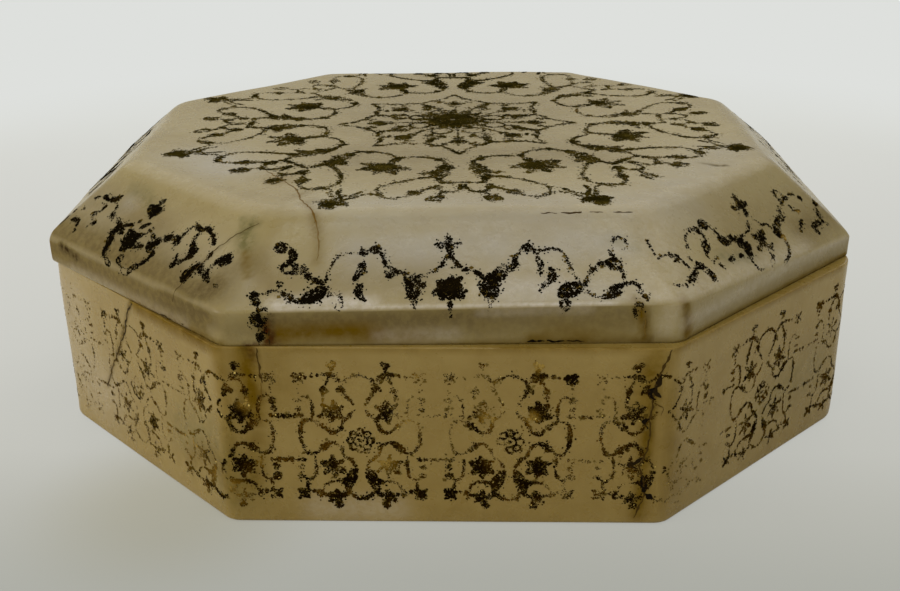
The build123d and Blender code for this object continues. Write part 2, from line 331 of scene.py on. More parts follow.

# The lid block
# The matching cover, also one block, paler: an upright rim, eight sloping facets and a flat top, hollowed
# from below. It lies loose over the lip, turned a little; its rim is stained where hands and dust reach and
# darkened with painted shade.
rim_height = 4.8
slope_run, slope_rise = 13.8, 11.5
rim_wall, facet_wall, top_wall = 4.5, 4.5, 4.5
edge_soft, roll_soft, roll_from = 0.3, 4.0, 32
worn_soft = 3.2
rim_corner, crown_corner = (1.5, 3.5), (3.0, 10.0)
crown_soft = 6.5
girdle_z = base_height + rim_height
top_z = girdle_z + slope_rise
slope = atan2(slope_rise, slope_run)
knee_z = girdle_z + rim_wall * tan(slope) - facet_wall / cos(slope)
ceiling_z = top_z - top_wall
ceiling_inset = (ceiling_z - girdle_z + facet_wall / cos(slope)) / tan(slope)
lie_of_lid = Matrix.Translation((-0.75, 1.3, 0)) @ Matrix.Rotation(radians(1.4), 4, "Z")
lie_of_drawing = Matrix.Translation((0.4, 0, 0)) @ lie_of_lid
slope_degrees = slope * 180 / pi
crown_back = crown_soft * tan(slope / 2)


def fillet_height(inset, radius):
    """How high the centre of a fillet stands that touches the facet's slope from below."""
    return girdle_z + inset * tan(slope) - radius / cos(slope)


def lid_outside(girdle, bevel):
    """The lid's outer rings from brim to crown; the girdle's rings turn the rim into the facets."""
    low = (0.05, base_height + bevel + 0.2, *rim_corner)
    profile = [(rim_wall, base_height, 1, 1), (bevel, base_height, *rim_corner)]
    profile += [(0.12, base_height + 0.6 * bevel, *rim_corner), low]
    profile += between(low, girdle[0], 7) + girdle
    high = (slope_run - crown_back * cos(slope), top_z - crown_back * sin(slope), *crown_corner)
    profile += between(girdle[-1], high, 18)
    crown_centre = slope_run + crown_back
    profile += quarter(crown_centre, top_z - crown_soft, crown_soft, 90 - slope_degrees, 90, 9, *crown_corner)
    flat = (crown_centre + 1.5, top_z, 1.5, 8.0)
    profile += between((crown_centre, top_z, *crown_corner), flat, 2) + [flat]
    return [stone_ring(*step) for step in profile]


# The front's edge is still crisp, with a narrow roll above it; the other sides' edges are worn round. The
# wear of each side, from 0 to 1, changes to its neighbour's over this many steps from the corner.
wear = [0.0, 0.25, 0.8, 1.0, 1.0, 1.0, 0.9, 0.85]
wear_steps = 18
crisp_bevel, worn_bevel = 0.15, 0.35
roll_inset = edge_soft + (roll_soft - edge_soft) * cos(radians(roll_from))
roll_height = fillet_height(roll_inset, roll_soft)
edge_height = roll_height + (roll_soft - edge_soft) * sin(radians(roll_from))
crisp_girdle = quarter(edge_soft, edge_height, edge_soft, 0, roll_from, 3, *rim_corner)
crisp_girdle += quarter(roll_inset, roll_height, roll_soft, roll_from, 90 - slope_degrees, 5, *rim_corner)[1:]
worn_height = fillet_height(worn_soft, worn_soft)
worn_girdle = quarter(worn_soft, worn_height, worn_soft, 0, 90 - slope_degrees, 8, *rim_corner)
wear_round = []
for k in range(8):
    here, ends = wear[k], [min(wear[k - 1], wear[k]), min(wear[k], wear[(k + 1) % 8])]
    wear_round += [ends[0]] * (corner_steps + 1)
    for j in range(1, side_steps):
        from_ends = [max(0, 1 - j / wear_steps), max(0, 1 - (side_steps - j) / wear_steps)]
        wear_round.append(here + sum((end - here) * near for end, near in zip(ends, from_ends)))
lid_outer = [
    [a.lerp(b, share) for a, b, share in zip(crisp, worn, wear_round)]
    for crisp, worn in zip(lid_outside(crisp_girdle, crisp_bevel), lid_outside(worn_girdle, worn_bevel))
]

# The rim's upper edge was cut unevenly: how far it stands above its level at each corner, in millimetres.
edge_rise = [0.7, 1.7, -0.8, 0.0, 0.0, 0.0, 0.0, 0.0]
rise_round = []
for k in range(8):
    here, there = edge_rise[k], edge_rise[(k + 1) % 8]
    rise_round += [here] * (corner_steps + 1)
    rise_round += [here + (there - here) * j / side_steps for j in range(1, side_steps)]


def raised(point, rise):
    """Moves a point of the rim or a facet with the rim's edge; the brim and the flat top stay."""
    near = (point.z - base_height) / rim_height if point.z < girdle_z else (top_z - point.z) / slope_rise
    return point + Vector((0, 0, rise * min(1, max(0, near))))


lid_outer = [[raised(p, rise) for p, rise in zip(ring, rise_round)] for ring in lid_outer]
top_shares = (0.92, 0.84, 0.74, 0.63, 0.51, 0.38, 0.24, 0.1)
lid_outer += [shrunk(lid_outer[-1], share, top_z) for share in top_shares]
hollow_low, hollow_knee = (rim_wall, base_height + 0.4, 1.0), (rim_wall, knee_z, 1.0)
hollow_high = (ceiling_inset, ceiling_z, 1.0)
hollow_profile = [hollow_low, hollow_knee] + between(hollow_knee, hollow_high, 8) + [hollow_high]
lid_inner = [stone_ring(*step) for step in hollow_profile]
lid_inner += [shrunk(lid_inner[-1], share, ceiling_z) for share in (0.7, 0.4, 0.1)]
lid_mesh = stone_mesh("lid block", lid_inner[::-1] + lid_outer, [(base_height, 1.5)], lie_of_lid)


def plane_of_side(k, low, high, place):
    """The flat field on one side of the stone, as (origin, along, up, outwards), in millimetres."""
    ends_low = [Vector((*octagon(low[0])[j % 8], low[1])) for j in (k, k + 1)]
    ends_high = [Vector((*octagon(high[0])[j % 8], high[1])) for j in (k, k + 1)]
    origin = (ends_low[0] + ends_low[1]) / 2
    along = (ends_low[1] - ends_low[0]).normalized()
    up = ((ends_high[0] + ends_high[1]) / 2 - origin).normalized()
    turn = place.to_3x3()
    return place @ origin, turn @ along, turn @ up, turn @ along.cross(up)


# Each wall's field starts this far along and up the wall, where its lattice happens to be set. The rims'
# fields start just below the brim.
rim_field_foot = base_height - 0.5
wall_fields = dict.fromkeys(side_names, (0, 1.07)) | {"front_left": (1.95, 1.59), "front_right": (-1.73, 1.5)}
walls, rims, facets = {}, {}, {}
for k, side in enumerate(side_names):
    origin, along, up, out = plane_of_side(k, (base_setback, 0), (base_setback, base_height), Matrix())
    walls[side] = origin + along * wall_fields[side][0] + up * wall_fields[side][1], along, up, out
    rims[side] = plane_of_side(k, (0, rim_field_foot), (0, girdle_z), lie_of_drawing)
    facets[side] = plane_of_side(k, (0, girdle_z), (slope_run, top_z), lie_of_drawing)
medallion_centre = Vector((0.69, 4.97, top_z))
medallion_turn = radians(2.39)
top_plane = (
    medallion_centre,
    Vector((cos(medallion_turn), sin(medallion_turn), 0)),
    Vector((-sin(medallion_turn), cos(medallion_turn), 0)),
    Vector((0, 0, 1)),
)


def on_plane(plane, x, y):
    origin, along, up, out = plane
    return origin + along * x + up * y


# Stains, whitening, dirt, painted shade and painted highlights are marked on the stone field by field, along
# listed lines: how wide, how strong, and the line.
marks = {
    "olive": {
        "facet front_left": [
            (1.3, 0.65, (-13.5, 13.6), (-9.5, 13.4), (-6.5, 12.4), (-4.2, 10.6)),
            (1.5, 1.0, (18.3, 15.0), (19.4, 12.5), (20.4, 11.5)), (0.8, 0.7, (16.2, 15.2), (18.0, 14.0)),
        ],
        "facet front": [(1.4, 0.4, (24.2, 12.5), (27.4, 11.0))],
        "facet front_right": [(1.3, 0.7, (-10.5, 5.4), (-7.4, 4.2), (-4.2, 3.4))],
        "wall front_left": [(5.0, 0.5, (12, 10), (20, 12), (24, 5))],
        "wall front_right": [(5.0, 0.35, (4, 10), (20, 12))],
    },
    # Pale haze: partly whitish clouding of the stone, partly painted light that lifts the shade along the
    # crown's fold.
    "haze": {
        "facet front": [
            (5.0, 0.55, (-14, 11), (24, 12)), (3.0, 0.5, (-16, 16.4), (26, 16.8)),
            (3.5, 0.4, (8, 4), (24, 3)),
        ],
        "facet front_left": [(2.6, 0.5, (-11.6, 10.6), (-10.2, 10.2)), (6.0, 0.2, (-20, 8), (22, 7))],
        "top": [
            (6.0, 0.38, (-20, -51), (34, -49)), (6.0, 0.35, (34, -42), (48, -22)),
            (6.0, 0.6, (-46, -22), (-40, -30)),
        ],
    },
    # Painted shade, a darker brown: along the rims below the facets' edge and in broad patches on the facets
    # and the top.
    "dusk": {
        "rim front": [
            (3.6, 0.95, (-25, 4.0), (4, 4.8)), (3.8, 0.8, (4, 4.8), (26.0, 5.2)),
            (2.6, 0.35, (-10, 1.4), (30, 1.4)), (3.0, 0.6, (-24, 2.8), (-10, 2.8)),
            (2.5, 0.5, (-33, 3), (-28, 3)),
        ],
        "rim front_left": [(3.8, 1.0, (-25, 3.2), (20, 3.2)), (3.4, 1.0, (10, 4.8), (22.5, 4.8))],
        "rim left": [(3.2, 0.6, (-24, 2.8), (24, 2.8))],
        "rim back": [(3.0, 0.5, (-30, 2.8), (10, 2.8))],
        "facet front_left": [
            (2.6, 0.6, (23, 9), (19.5, 4.0), (16.8, 1.0)), (5.0, 0.9, (-24, 1.5), (14, 1.5)),
            (3.6, 1.0, (14.5, -1.5), (17.5, 1.5), (21.0, 3.5)), (2.6, 0.6, (19.8, 5), (21, 7)),
            (4.5, 0.45, (-22, 10.0), (0, 7.0)),
        ],
        "facet front": [(4.0, 0.3, (-22, 5.5), (-4, 5.5))],
        "facet front_right": [(7.0, 0.45, (-2, 6), (23, 8)), (4.5, 0.8, (13, 4), (24, 5))],
        "rim front_right": [(3.4, 0.5, (-22, 2.4), (24, 2.4))],
        "top": [(20.0, 0.5, (-2, 3), (2, 5)), (9.0, 0.5, (-18, -24), (20, -24))],
    },
    "stain": {
        "wall front": [
            (2.4, 0.95, (-29.8, 29.0), (-29.2, 24), (-28.8, 18)), (2.2, 0.55, (-28.8, 14), (-30, 6)),
            (2.5, 0.85, (31.2, 28), (30.0, 24), (29.8, 19)), (1.6, 0.8, (30.4, 19), (30.3, 9), (29.8, 1)),
            (0.5, 0.5, (-33, 28.9), (33, 28.9)), (3.2, 0.35, (-25.5, 28), (-25, 21)),
            (0.45, 1.0, (8, 29.5), (33, 29.5)), (1.0, 1.0, (10, 30.8), (36, 30.8)),
            (0.9, 0.5, (-33, 30.8), (10, 30.8)),
        ],
        "wall front_left": [
            (2.6, 0.45, (14, 6), (21, 9), (24.5, 4)), (2.0, 0.6, (23.5, 29), (24.5, 20), (24.5, 8)),
            (1.1, 1.0, (0, 28.2), (25, 28.2)),
        ],
        "wall front_right": [(2.6, 0.4, (-24, 22), (-22, 4)), (0.6, 0.6, (-24, 28.6), (24, 28.6))],
        "rim front": [
            (1.7, 1.0, (-25.4, 2.4), (-18, 2.9), (-11, 2.4)), (1.2, 0.6, (-11, 2.4), (-4, 1.6)),
            (1.1, 0.8, (11.5, 1.2), (18, 1.3), (27, 1.0)), (2.0, 0.25, (14, 2.4), (25, 2.8)),
            (0.6, 1.0, (-34, 0.2), (4, 0.2), (34, 0.2)), (1.3, 0.5, (14, 2.0), (17, 2.6), (22, 1.9)),
            (0.9, 1.0, (27.2, 6.2), (28.1, 3.5), (28.8, 0.8)), (0.9, 1.0, (-27.4, 3.6), (-27.0, 0.7)),
            (1.0, 1.0, (34.0, 6.6), (34.5, 4.5), (34.8, 1.5)),
        ],
        "facet front": [
            (0.8, 0.6, (26.6, 2.0), (27.4, 0.2)), (0.9, 0.7, (33.6, 1.6), (34.2, 0.0)),
            (0.9, 0.55, (-21.2, 17.5), (-20.5, 14.7), (-20.1, 12.4), (-20.2, 9.0)),
            (2.2, 0.35, (-29.0, 9.5), (-27.0, 5.5)),
        ],
        "rim front_right": [(0.9, 0.8, (-24, 0.3), (0, 0.4), (24, 0.6))],
        "rim front_left": [(1.0, 0.95, (0, 0.2), (25, 0.2))],
        "facet front_left": [(3.2, 0.2, (-8, 9), (2, 10)), (0.6, 0.7, (21.5, 10.5), (24.5, 7.5))],
        "top": [(0.9, 0.5, (-33.1, -31.8), (-29.0, -38.9), (-27.0, -43.0), (-25.7, -48.1), (-23.7, -52.8))],
    },
    # Painted highlights, pale: a bright line along the front girdle and along the base's brim edge, with some
    # whitening of the stone beside them.
    "bloom": {
        "facet front": [
            (1.2, 0.8, (-26.2, 1.7), (-19.5, 2.1), (-12, 1.8)), (2.2, 0.3, (4, 3.6), (15, 4.0)),
            (0.4, 0.7, (-27, 0.9), (-13, 1.0), (0, 1.05), (10, 1.1)), (0.35, 1.0, (10, 1.1), (24, 1.2)),
            (5.0, 0.3, (30, 0), (32, 8), (30.5, 15)),
        ],
        "facet front_right": [(3.0, 0.4, (-25, 3), (-16, 1.5), (0, 0.2), (10, 0))],
        "rim front": [
            (1.5, 0.3, (31.2, 3.2), (32.2, 6.2)), (0.8, 0.25, (4, 5.8), (20, 6.2)),
            (1.2, 0.25, (-11, 2.0), (0, 2.2)),
        ],
        "rim front_right": [(1.3, 0.35, (-25, 3.6), (0, 4.2), (24, 4.4))],
        "rim front_left": [(1.2, 0.2, (-18, 1.0), (16, 1.2))],
        "wall front": [(2.4, 0.3, (-20, 1.8), (-8, 1.6)), (0.3, 0.5, (-14, 29.9), (33, 29.9))],
        "wall front_left": [(8.0, 0.32, (-24, 22), (-24, 10), (-16, 8))],
    },
    "rust": {
        "rim front": [(0.8, 1.0, (-27.4, 3.9), (-27.0, 0.5)), (0.5, 0.8, (-30.5, 0.6), (-26.0, 0.6))],
        "wall front": [(0.6, 0.6, (-28.6, 29.2), (-28.2, 27.4))],
        "wall front_left": [(0.5, 0.5, (12, 29.2), (25, 29.2))],
    },
    # Dark grime beside the cracks and along the seam, and painted shade in a line along the left facet's
    # foot.
    "grime": {
        "wall front": [
            (0.8, 0.5, (-29.4, 29.2), (-28.6, 28)), (0.6, 0.5, (31.2, 22.1), (30.8, 17.5), (30.6, 11.5)),
            (0.6, 0.45, (30.1, 7.9), (29.6, 1.5)),
        ],
        "rim front": [
            (0.5, 0.4, (28.0, 5.8), (28.8, 1.0)), (0.5, 0.3, (34.0, 7.4), (34.6, 2.2)),
            (0.6, 0.85, (-26.9, 6.2), (-26.7, 4.7), (-27.1, 3.1), (-26.7, 1.8)),
            (0.35, 0.5, (-34, 0.0), (12, 0.0)), (0.9, 0.7, (-28.7, 7.6), (-28.2, 5.6), (-27.6, 3.6)),
        ],
        "wall front_left": [(0.5, 0.7, (-1, 28.8), (-6.3, 19.8), (-13.4, 9.0))],
        "rim front_left": [
            (0.45, 0.5, (4, 0.4), (25, 0.4)), (0.9, 1.0, (-21.5, 4.7), (-16.5, 3.7)),
            (2.4, 0.25, (12, 4.8), (20, 4.8)),
        ],
        "rim front_right": [(0.4, 0.5, (-24, 0.4), (24, 0.4))],
        "facet front_left": [
            (5.0, 0.13, (-24, 2), (6, 2)), (3.4, 0.3, (15, -0.5), (20.5, 3)),
            (0.5, 0.35, (19.6, 15.8), (16.7, 11.2), (15.2, 7.5), (14.3, 2.7)),
        ],
        # Painted shade: a dark line along the left facet's foot, where its edge is seen on end.
        "facet left": [(1.1, 0.4, (-28, 0.8), (28, 0.8))],
        "top": [(0.5, 1.0, (43.6, -31.9), (45.4, -31.9))],
    },
}


def near_line(places, relief, plane, width, amount, *stops):
    """How strongly a listed line is felt at each place: amount on the line, fading over its width.

    Stone that stands off the plane by up to the relief feels it in full.
    """
    strength = np.zeros(len(places))
    out = np.array(plane[3])
    ends = [np.array(on_plane(plane, *stop)) for stop in stops]
    for a, b in zip(ends, ends[1:]):
        share = np.clip((places - a) @ (b - a) / ((b - a) @ (b - a)), 0, 1)
        apart = places - a - share[:, None] * (b - a)
        off_plane = apart @ out
        gap = np.linalg.norm(apart - off_plane[:, None] * out, axis=1)
        gap = np.hypot(gap, np.maximum(0, np.abs(off_plane) - relief))
        strength = np.maximum(strength, amount * np.exp(-(gap / width) ** 2))
    return strength


fields = {"top": top_plane}
for form, planes in (("wall", walls), ("rim", rims), ("facet", facets)):
    fields |= {form + " " + side: plane for side, plane in planes.items()}
# Marks on a rim end at its upper edge and those on a facet start there, fading over this many millimetres.
edge_fades = {"front": 0.3, "front_right": 0.8, "front_left": 1.6}
usual_edge_fade = 3.0
edge_line_rise = 0.15
lid_relief = 1.5


def age_stone(mesh, is_base):
    """Writes each kind of mark as a value from 0 to 1 at every point of a block."""
    places = np.empty(len(mesh.vertices) * 3)
    mesh.vertices.foreach_get("co", places)
    places = places.reshape(-1, 3) / MM
    relief = 0.0 if is_base else lid_relief
    below_edge = edge_height + edge_line_rise + np.resize(rise_round, len(places)) - places[:, 2]
    for kind, marked in marks.items():
        strength = np.zeros(len(places))
        for field, lines in marked.items():
            form, _, side = field.partition(" ")
            if (form == "wall") != is_base:
                continue
            share = 1.0
            if form in ("rim", "facet"):
                down = 1 if form == "rim" else -1
                share = np.clip(0.5 + down * below_edge / edge_fades.get(side, usual_edge_fade), 0, 1)
            for line in lines:
                strength = np.maximum(strength, near_line(places, relief, fields[field], *line) * share)
        mesh.attributes.new(kind, "FLOAT", "POINT").data.foreach_set("value", strength)


age_stone(base_mesh, True)
age_stone(lid_mesh, False)

# Each kind of mark: its colour, the size of its mottle in millimetres and the share that stays even; the
# shade and highlight kinds are painted light.
mark_looks = {
    "haze": (srgb(166, 161, 150), 7.0, 0.75),
    "olive": (srgb(96, 88, 26), 1.4, 0.45),
    "dusk": (srgb(105, 90, 57), 1.1, 0.76),
    "stain": (srgb(98, 73, 0), 3.4, 0.6),
    "bloom": (srgb(196, 186, 168), 1.0, 0.6),
    "grime": (srgb(44, 30, 12), 0.9, 0.35),
    "rust": (srgb(62, 24, 4), 0.8, 0.3),
}
jade_look = bpy.data.node_groups.new("old jade", "ShaderNodeTree")
for socket in ("Pale", "Deep"):
    jade_look.interface.new_socket(socket, in_out="INPUT", socket_type="NodeSocketColor")
jade_look.interface.new_socket("Color", in_out="OUTPUT", socket_type="NodeSocketColor")
for socket in ("Roughness", "Polish", "Height"):
    jade_look.interface.new_socket(socket, in_out="OUTPUT", socket_type="NodeSocketFloat")
nodes, links = jade_look.nodes, jade_look.links
colours_in, looks_out = nodes.new("NodeGroupInput"), nodes.new("NodeGroupOutput")
where = nodes.new("ShaderNodeTexCoord")


def cloud(size, detail, low, high, roughness=0.5, warp=0.0):
    """A soft mask of clouds about size millimetres across, rising from 0 at low to 1 at high."""
    pattern = nodes.new("ShaderNodeTexNoise")
    pattern.inputs["Scale"].default_value = 1000.0 / size
    pattern.inputs["Detail"].default_value = detail
    pattern.inputs["Roughness"].default_value = roughness
    pattern.inputs["Distortion"].default_value = warp
    links.new(where.outputs["Object"], pattern.inputs["Vector"])
    ramp = nodes.new("ShaderNodeMapRange")
    ramp.interpolation_type = "SMOOTHSTEP"
    ramp.inputs["From Min"].default_value = low
    ramp.inputs["From Max"].default_value = high
    links.new(pattern.outputs["Fac"], ramp.inputs["Value"])
    return ramp.outputs["Result"]


def sums(operation, first, second):
    """One step of arithmetic on masks or constants, kept between 0 and 1."""
    node = nodes.new("ShaderNodeMath")
    node.operation = operation
    node.use_clamp = True
    for slot, value in zip(node.inputs, (first, second)):
        if isinstance(value, float):
            slot.default_value = value
        else:
            links.new(value, slot)
    return node.outputs["Value"]


def tinted(under, over, mask):
    """The over colour laid on the under one where the mask says."""
    node = nodes.new("ShaderNodeMix")
    node.data_type = "RGBA"
    links.new(mask, node.inputs["Factor"])
    for slot, colour in (("A", under), ("B", over)):
        target = [s for s in node.inputs if s.name == slot and s.type == "RGBA"][0]
        if isinstance(colour, tuple):
            target.default_value = colour
        else:
            links.new(colour, target)
    return [s for s in node.outputs if s.type == "RGBA"][0]


def mark_of(kind):
    node = nodes.new("ShaderNodeAttribute")
    node.attribute_name = kind
    return node.outputs["Fac"]


wide_clouds = sums("MULTIPLY", cloud(26, 4, 0.3, 0.7, warp=0.6), 0.6)
clouding = sums("ADD", wide_clouds, sums("MULTIPLY", cloud(4, 5, 0.35, 0.7), 0.4))
sugar = cloud(0.8, 3, 0.42, 0.66, roughness=0.65)
colour = tinted(colours_in.outputs["Pale"], colours_in.outputs["Deep"], clouding)
for kind, (shade, mottle, evenness) in mark_looks.items():
    mottled = cloud(mottle, 5, 0.36, 0.62, roughness=0.6)
    mask = sums("MULTIPLY", mark_of(kind), sums("ADD", sums("MULTIPLY", mottled, 1 - evenness), evenness))
    colour = tinted(colour, shade, mask)
links.new(colour, looks_out.inputs["Color"])
matt = sums("ADD", sums("MULTIPLY", mark_of("grime"), 0.3), sums("MULTIPLY", cloud(2.2, 4, 0.4, 0.7), 0.1))
links.new(sums("ADD", matt, 0.27), looks_out.inputs["Roughness"])
dull = sums("MULTIPLY", sums("ADD", sums("ADD", mark_of("dusk"), mark_of("stain")), mark_of("grime")), 0.35)
links.new(sums("SUBTRACT", 0.32, dull), looks_out.inputs["Polish"])
links.new(sums("ADD", sums("MULTIPLY", sugar, 0.2), cloud(1.8, 4, 0.3, 0.7)), looks_out.inputs["Height"])


def jade(name, pale, deep):
    """Polished old jade: light soaks a little way in, and the polish is worn in patches."""
    material = bpy.data.materials.new(name)
    nodes, links = nodes_of(material)
    stone = nodes["Principled BSDF"]
    look = nodes.new("ShaderNodeGroup")
    look.node_tree = jade_look
    look.inputs["Pale"].default_value = pale
    look.inputs["Deep"].default_value = deep
    relief = nodes.new("ShaderNodeBump")
    relief.inputs["Strength"].default_value = 0.12
    relief.inputs["Distance"].default_value = 0.0002
    links.new(look.outputs["Color"], stone.inputs["Base Color"])
    links.new(look.outputs["Roughness"], stone.inputs["Roughness"])
    links.new(look.outputs["Polish"], stone.inputs["Specular IOR Level"])
    links.new(look.outputs["Height"], relief.inputs["Height"])
    links.new(relief.outputs["Normal"], stone.inputs["Normal"])
    stone.inputs["IOR"].default_value = 1.6
    stone.inputs["Subsurface Weight"].default_value = 0.3
    stone.inputs["Subsurface Radius"].default_value = (1.0, 0.85, 0.5)
    stone.inputs["Subsurface Scale"].default_value = 0.002
    return material


base_jade = jade("yellowed jade", srgb(152, 129, 68), srgb(138, 114, 51))
lid_jade = jade("pale jade", srgb(155, 139, 90), srgb(142, 124, 72))


def put(name, mesh, material, body, slot, *replaced):
    """Places one finished piece: its finish, the body it moves with and the plain solids it stands for."""
    mesh.materials.append(material)
    piece = bpy.data.objects.new(name, mesh)
    bpy.context.scene.collection.objects.link(piece)
    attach(piece, body)
    if replaced:
        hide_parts(*replaced)
    return piece


put("base_block", base_mesh, base_jade, "base", "base_jade", "base")
put("lid_block", lid_mesh, lid_jade, "lid", "lid_jade", "lid")

# The fissures
# Old cracks in both blocks, drawn as the hairline wedges of dirt that fill them. The widest runs down the
# right end of the base's front; others cross the lid's top, its left fold and the wall below that.


def smooth_path(stops, step=0.4):
    """A smooth line through given stops, as evenly spaced points."""
    stops = [Vector(stop) for stop in stops]
    if len(stops) == 2:
        count = max(2, round((stops[1] - stops[0]).length / step))
        return [stops[0].lerp(stops[1], k / count) for k in range(count + 1)]
    ends = [stops[0] * 2 - stops[1]] + stops + [stops[-1] * 2 - stops[-2]]
    line = [stops[0]]
    for a, b, c, d in zip(ends, ends[1:], ends[2:], ends[3:]):
        count = max(1, round((c - b).length / step))
        for k in range(1, count + 1):
            t = k / count
            bend = (2 * a - 5 * b + 4 * c - d) * t * t
            line.append(0.5 * (2 * b + (c - a) * t + bend + (3 * b - a - 3 * c + d) * t ** 3))
    return line


# Drawings are cast onto the stone from this far off their plane, and reach this far down, in millimetres.
ray_start, ray_reach = 4.0, 9.0
stone_under = {}
for body, mesh in (("base", base_mesh), ("lid", lid_mesh)):
    corners = [v.co / MM for v in mesh.vertices]
    stone_under[body] = BVHTree.FromPolygons(corners, [tuple(p.vertices) for p in mesh.polygons])


def on_stone(body, plane, x, y):
    """The place on a block's surface under a place in one of its fields, or None beside the block."""
    out = plane[3]
    return stone_under[body].ray_cast(on_plane(plane, x, y) + out * ray_start, -out, ray_reach)[0]


# Each fissure: its plane, greatest width, how brown the dirt is from 0 to 1, and the line.
fissures = {
    "base": [
        (walls["front"], 0.5, 0.25, (33.3, 29.1), (32.4, 26.8), (31.7, 25.0), (31.1, 22.1), (30.9, 20.1),
         (30.6, 17.5)),
        (walls["front"], 0.52, 0.25, (30.6, 17.5), (30.9, 15.0), (30.6, 12.5), (29.9, 10.6), (29.6, 9.4),
         (30.2, 7.6)),
        (walls["front"], 0.48, 0.25, (30.2, 7.6), (30.6, 4.7), (30.0, 2.6), (29.2, 0.2)),
        (walls["front"], 1.0, 0.05, (32.0, 25.2), (31.6, 23.9), (31.3, 22.2), (32.2, 21.4)),
        (walls["front"], 1.0, 0.0, (31.2, 23.0), (30.4, 21.9), (31.3, 20.9)),
        (walls["front"], 1.1, 0.0, (30.6, 17.8), (29.8, 17.2), (30.6, 16.2)),
        (walls["front"], 1.0, 0.05, (29.9, 11.0), (28.7, 10.1), (27.9, 9.8), (29.2, 9.2)),
        (walls["front"], 1.15, 0.0, (30.1, 8.0), (30.4, 6.3), (30.7, 4.6), (31.9, 3.7)),
        (walls["front"], 0.3, 0.4, (31.2, 20.4), (32.6, 19.6), (32.2, 18.4)),
        (rims["front"], 0.5, 0.0, (33.0, 0.7), (34.0, 0.75), (35.2, 0.8)),
        (walls["front"], 0.4, 0.3, (-27.8, 29.5), (-27.6, 27.3), (-27.5, 24.9), (-27.4, 23.4)),
        (walls["front"], 0.25, 0.7, (-27.4, 23.4), (-27.6, 21.0), (-28.5, 18.5)),
        (walls["front_left"], 0.42, 0.1, (0, 29.2), (-2.2, 26.8), (-3.5, 24.3), (-4.3, 22.2), (-6.3, 19.8)),
        (walls["front_left"], 0.4, 0.25, (-6.3, 19.8), (-7.7, 17.4), (-9.8, 14.5), (-11.9, 11.2),
         (-13.4, 9.0)),
    ],
    "lid": [
        (top_plane, 0.3, 0.7, (-33.1, -31.8), (-29.0, -38.9), (-27.0, -43.0), (-25.7, -48.1), (-23.7, -52.8),
         (-22.9, -55.6)),
        (facets["front"], 0.22, 0.8, (-21.3, 18.0), (-21.0, 16.9), (-20.5, 14.7), (-20.1, 12.8),
         (-20.2, 9.1)),
        (facets["front_left"], 0.22, 0.3, (19.6, 15.8), (16.7, 11.2), (15.5, 8.7), (15.0, 6.2), (14.3, 2.7),
         (13.2, -1.0)),
        (top_plane, 0.4, 0.2, (11.5, -54.7), (14.0, -54.9)),
        (top_plane, 0.5, 0.2, (14.6, -54.9), (17.8, -54.9)),
        (top_plane, 0.35, 0.3, (19.0, -55.0), (21.0, -54.9)),
        (top_plane, 0.4, 0.2, (22.6, -54.9), (25.6, -54.8)),
        (rims["front"], 0.7, 0.15, (-27.2, 3.0), (-27.0, 2.2)),
        (rims["front"], 0.5, 0.1, (-27.3, 1.6), (-27.0, 0.6)),
        (rims["front"], 0.6, 0.0, (10.9, 1.0), (13.5, 0.95)),
        (rims["front"], 0.6, 0.0, (13.8, 1.0), (16.4, 0.95)),
        (rims["front"], 0.5, 0.1, (16.7, 1.0), (19.4, 0.95)),
        (rims["front_left"], 1.3, 0.9, (3.0, 0.9), (12.0, 0.8), (25.6, 0.9)),
        (rims["front_left"], 0.7, 0.25, (15.0, 0.9), (17.0, 0.8)),
        (rims["front_left"], 0.5, 0.2, (9.0, 0.8), (12.0, 0.8)),
        (rims["front"], 0.12, 1.0, (28.0, 4.4), (28.4, 1.4)),
    ],
}
dirt_dark, dirt_brown = srgb(16, 9, 1), srgb(124, 94, 34)
dirt = bpy.data.materials.new("dirt in the cracks")
nodes, links = nodes_of(dirt)
paint = nodes["Principled BSDF"]
links.new(tinted(dirt_dark, dirt_brown, mark_of("tone")), paint.inputs["Base Color"])
paint.inputs["Roughness"].default_value = 0.6
paint.inputs["Specular IOR Level"].default_value = 0.05


def wedges(body):
    """The dirt in one body's fissures: three-sided closed ribbons, their point down in the stone."""
    points, faces, tones = [], [], []
    for number, (plane, width, tone, *stops) in enumerate(fissures[body]):
        out = plane[3]
        line = smooth_path(stops, 0.3)
        shake = Vector((number * 5.1, 2.7, 0))
        begun = False
        for k, p in enumerate(line):
            ahead, behind = line[min(k + 1, len(line) - 1)], line[max(k - 1, 0)]
            side = Vector((behind.y - ahead.y, ahead.x - behind.x)).normalized()
            stray = noise.noise(Vector((p.x, p.y, 1)) / 0.9 + shake) * 0.28
            ragged = width * (0.55 + 0.75 * noise.noise(Vector((p.x, p.y, 5)) / 0.7 + shake))
            half = max(0.06, ragged * min(1, 0.35 + 0.25 * min(k, len(line) - 1 - k))) / 2
            hits = [on_stone(body, plane, *(p + side * (stray + s * half))) for s in (1, -1)]
            if None in hits:
                if begun:
                    break
                continue
            here = len(points)
            points += [hits[0] + out * 0.03, hits[1] + out * 0.03, (hits[0] + hits[1]) / 2 - out * 0.25]
            tones += [tone] * 3
            if begun:
                for a, b in ((0, 1), (1, 2), (2, 0)):
                    faces.append((here - 3 + a, here + a, here + b, here - 3 + b))
            else:
                begun = True
                faces.append((here, here + 1, here + 2))
        if begun:
            end = len(points) - 3
            faces.append((end + 2, end + 1, end))
    mesh = bpy.data.meshes.new(body + " fissures")
    mesh.from_pydata([p * MM for p in points], [], faces)
    mesh.attributes.new("tone", "FLOAT", "POINT").data.foreach_set("value", tones)
    return mesh


put("base_fissures", wedges("base"), dirt, "base", "base_jade")
put("lid_fissures", wedges("lid"), dirt, "lid", "lid_jade")

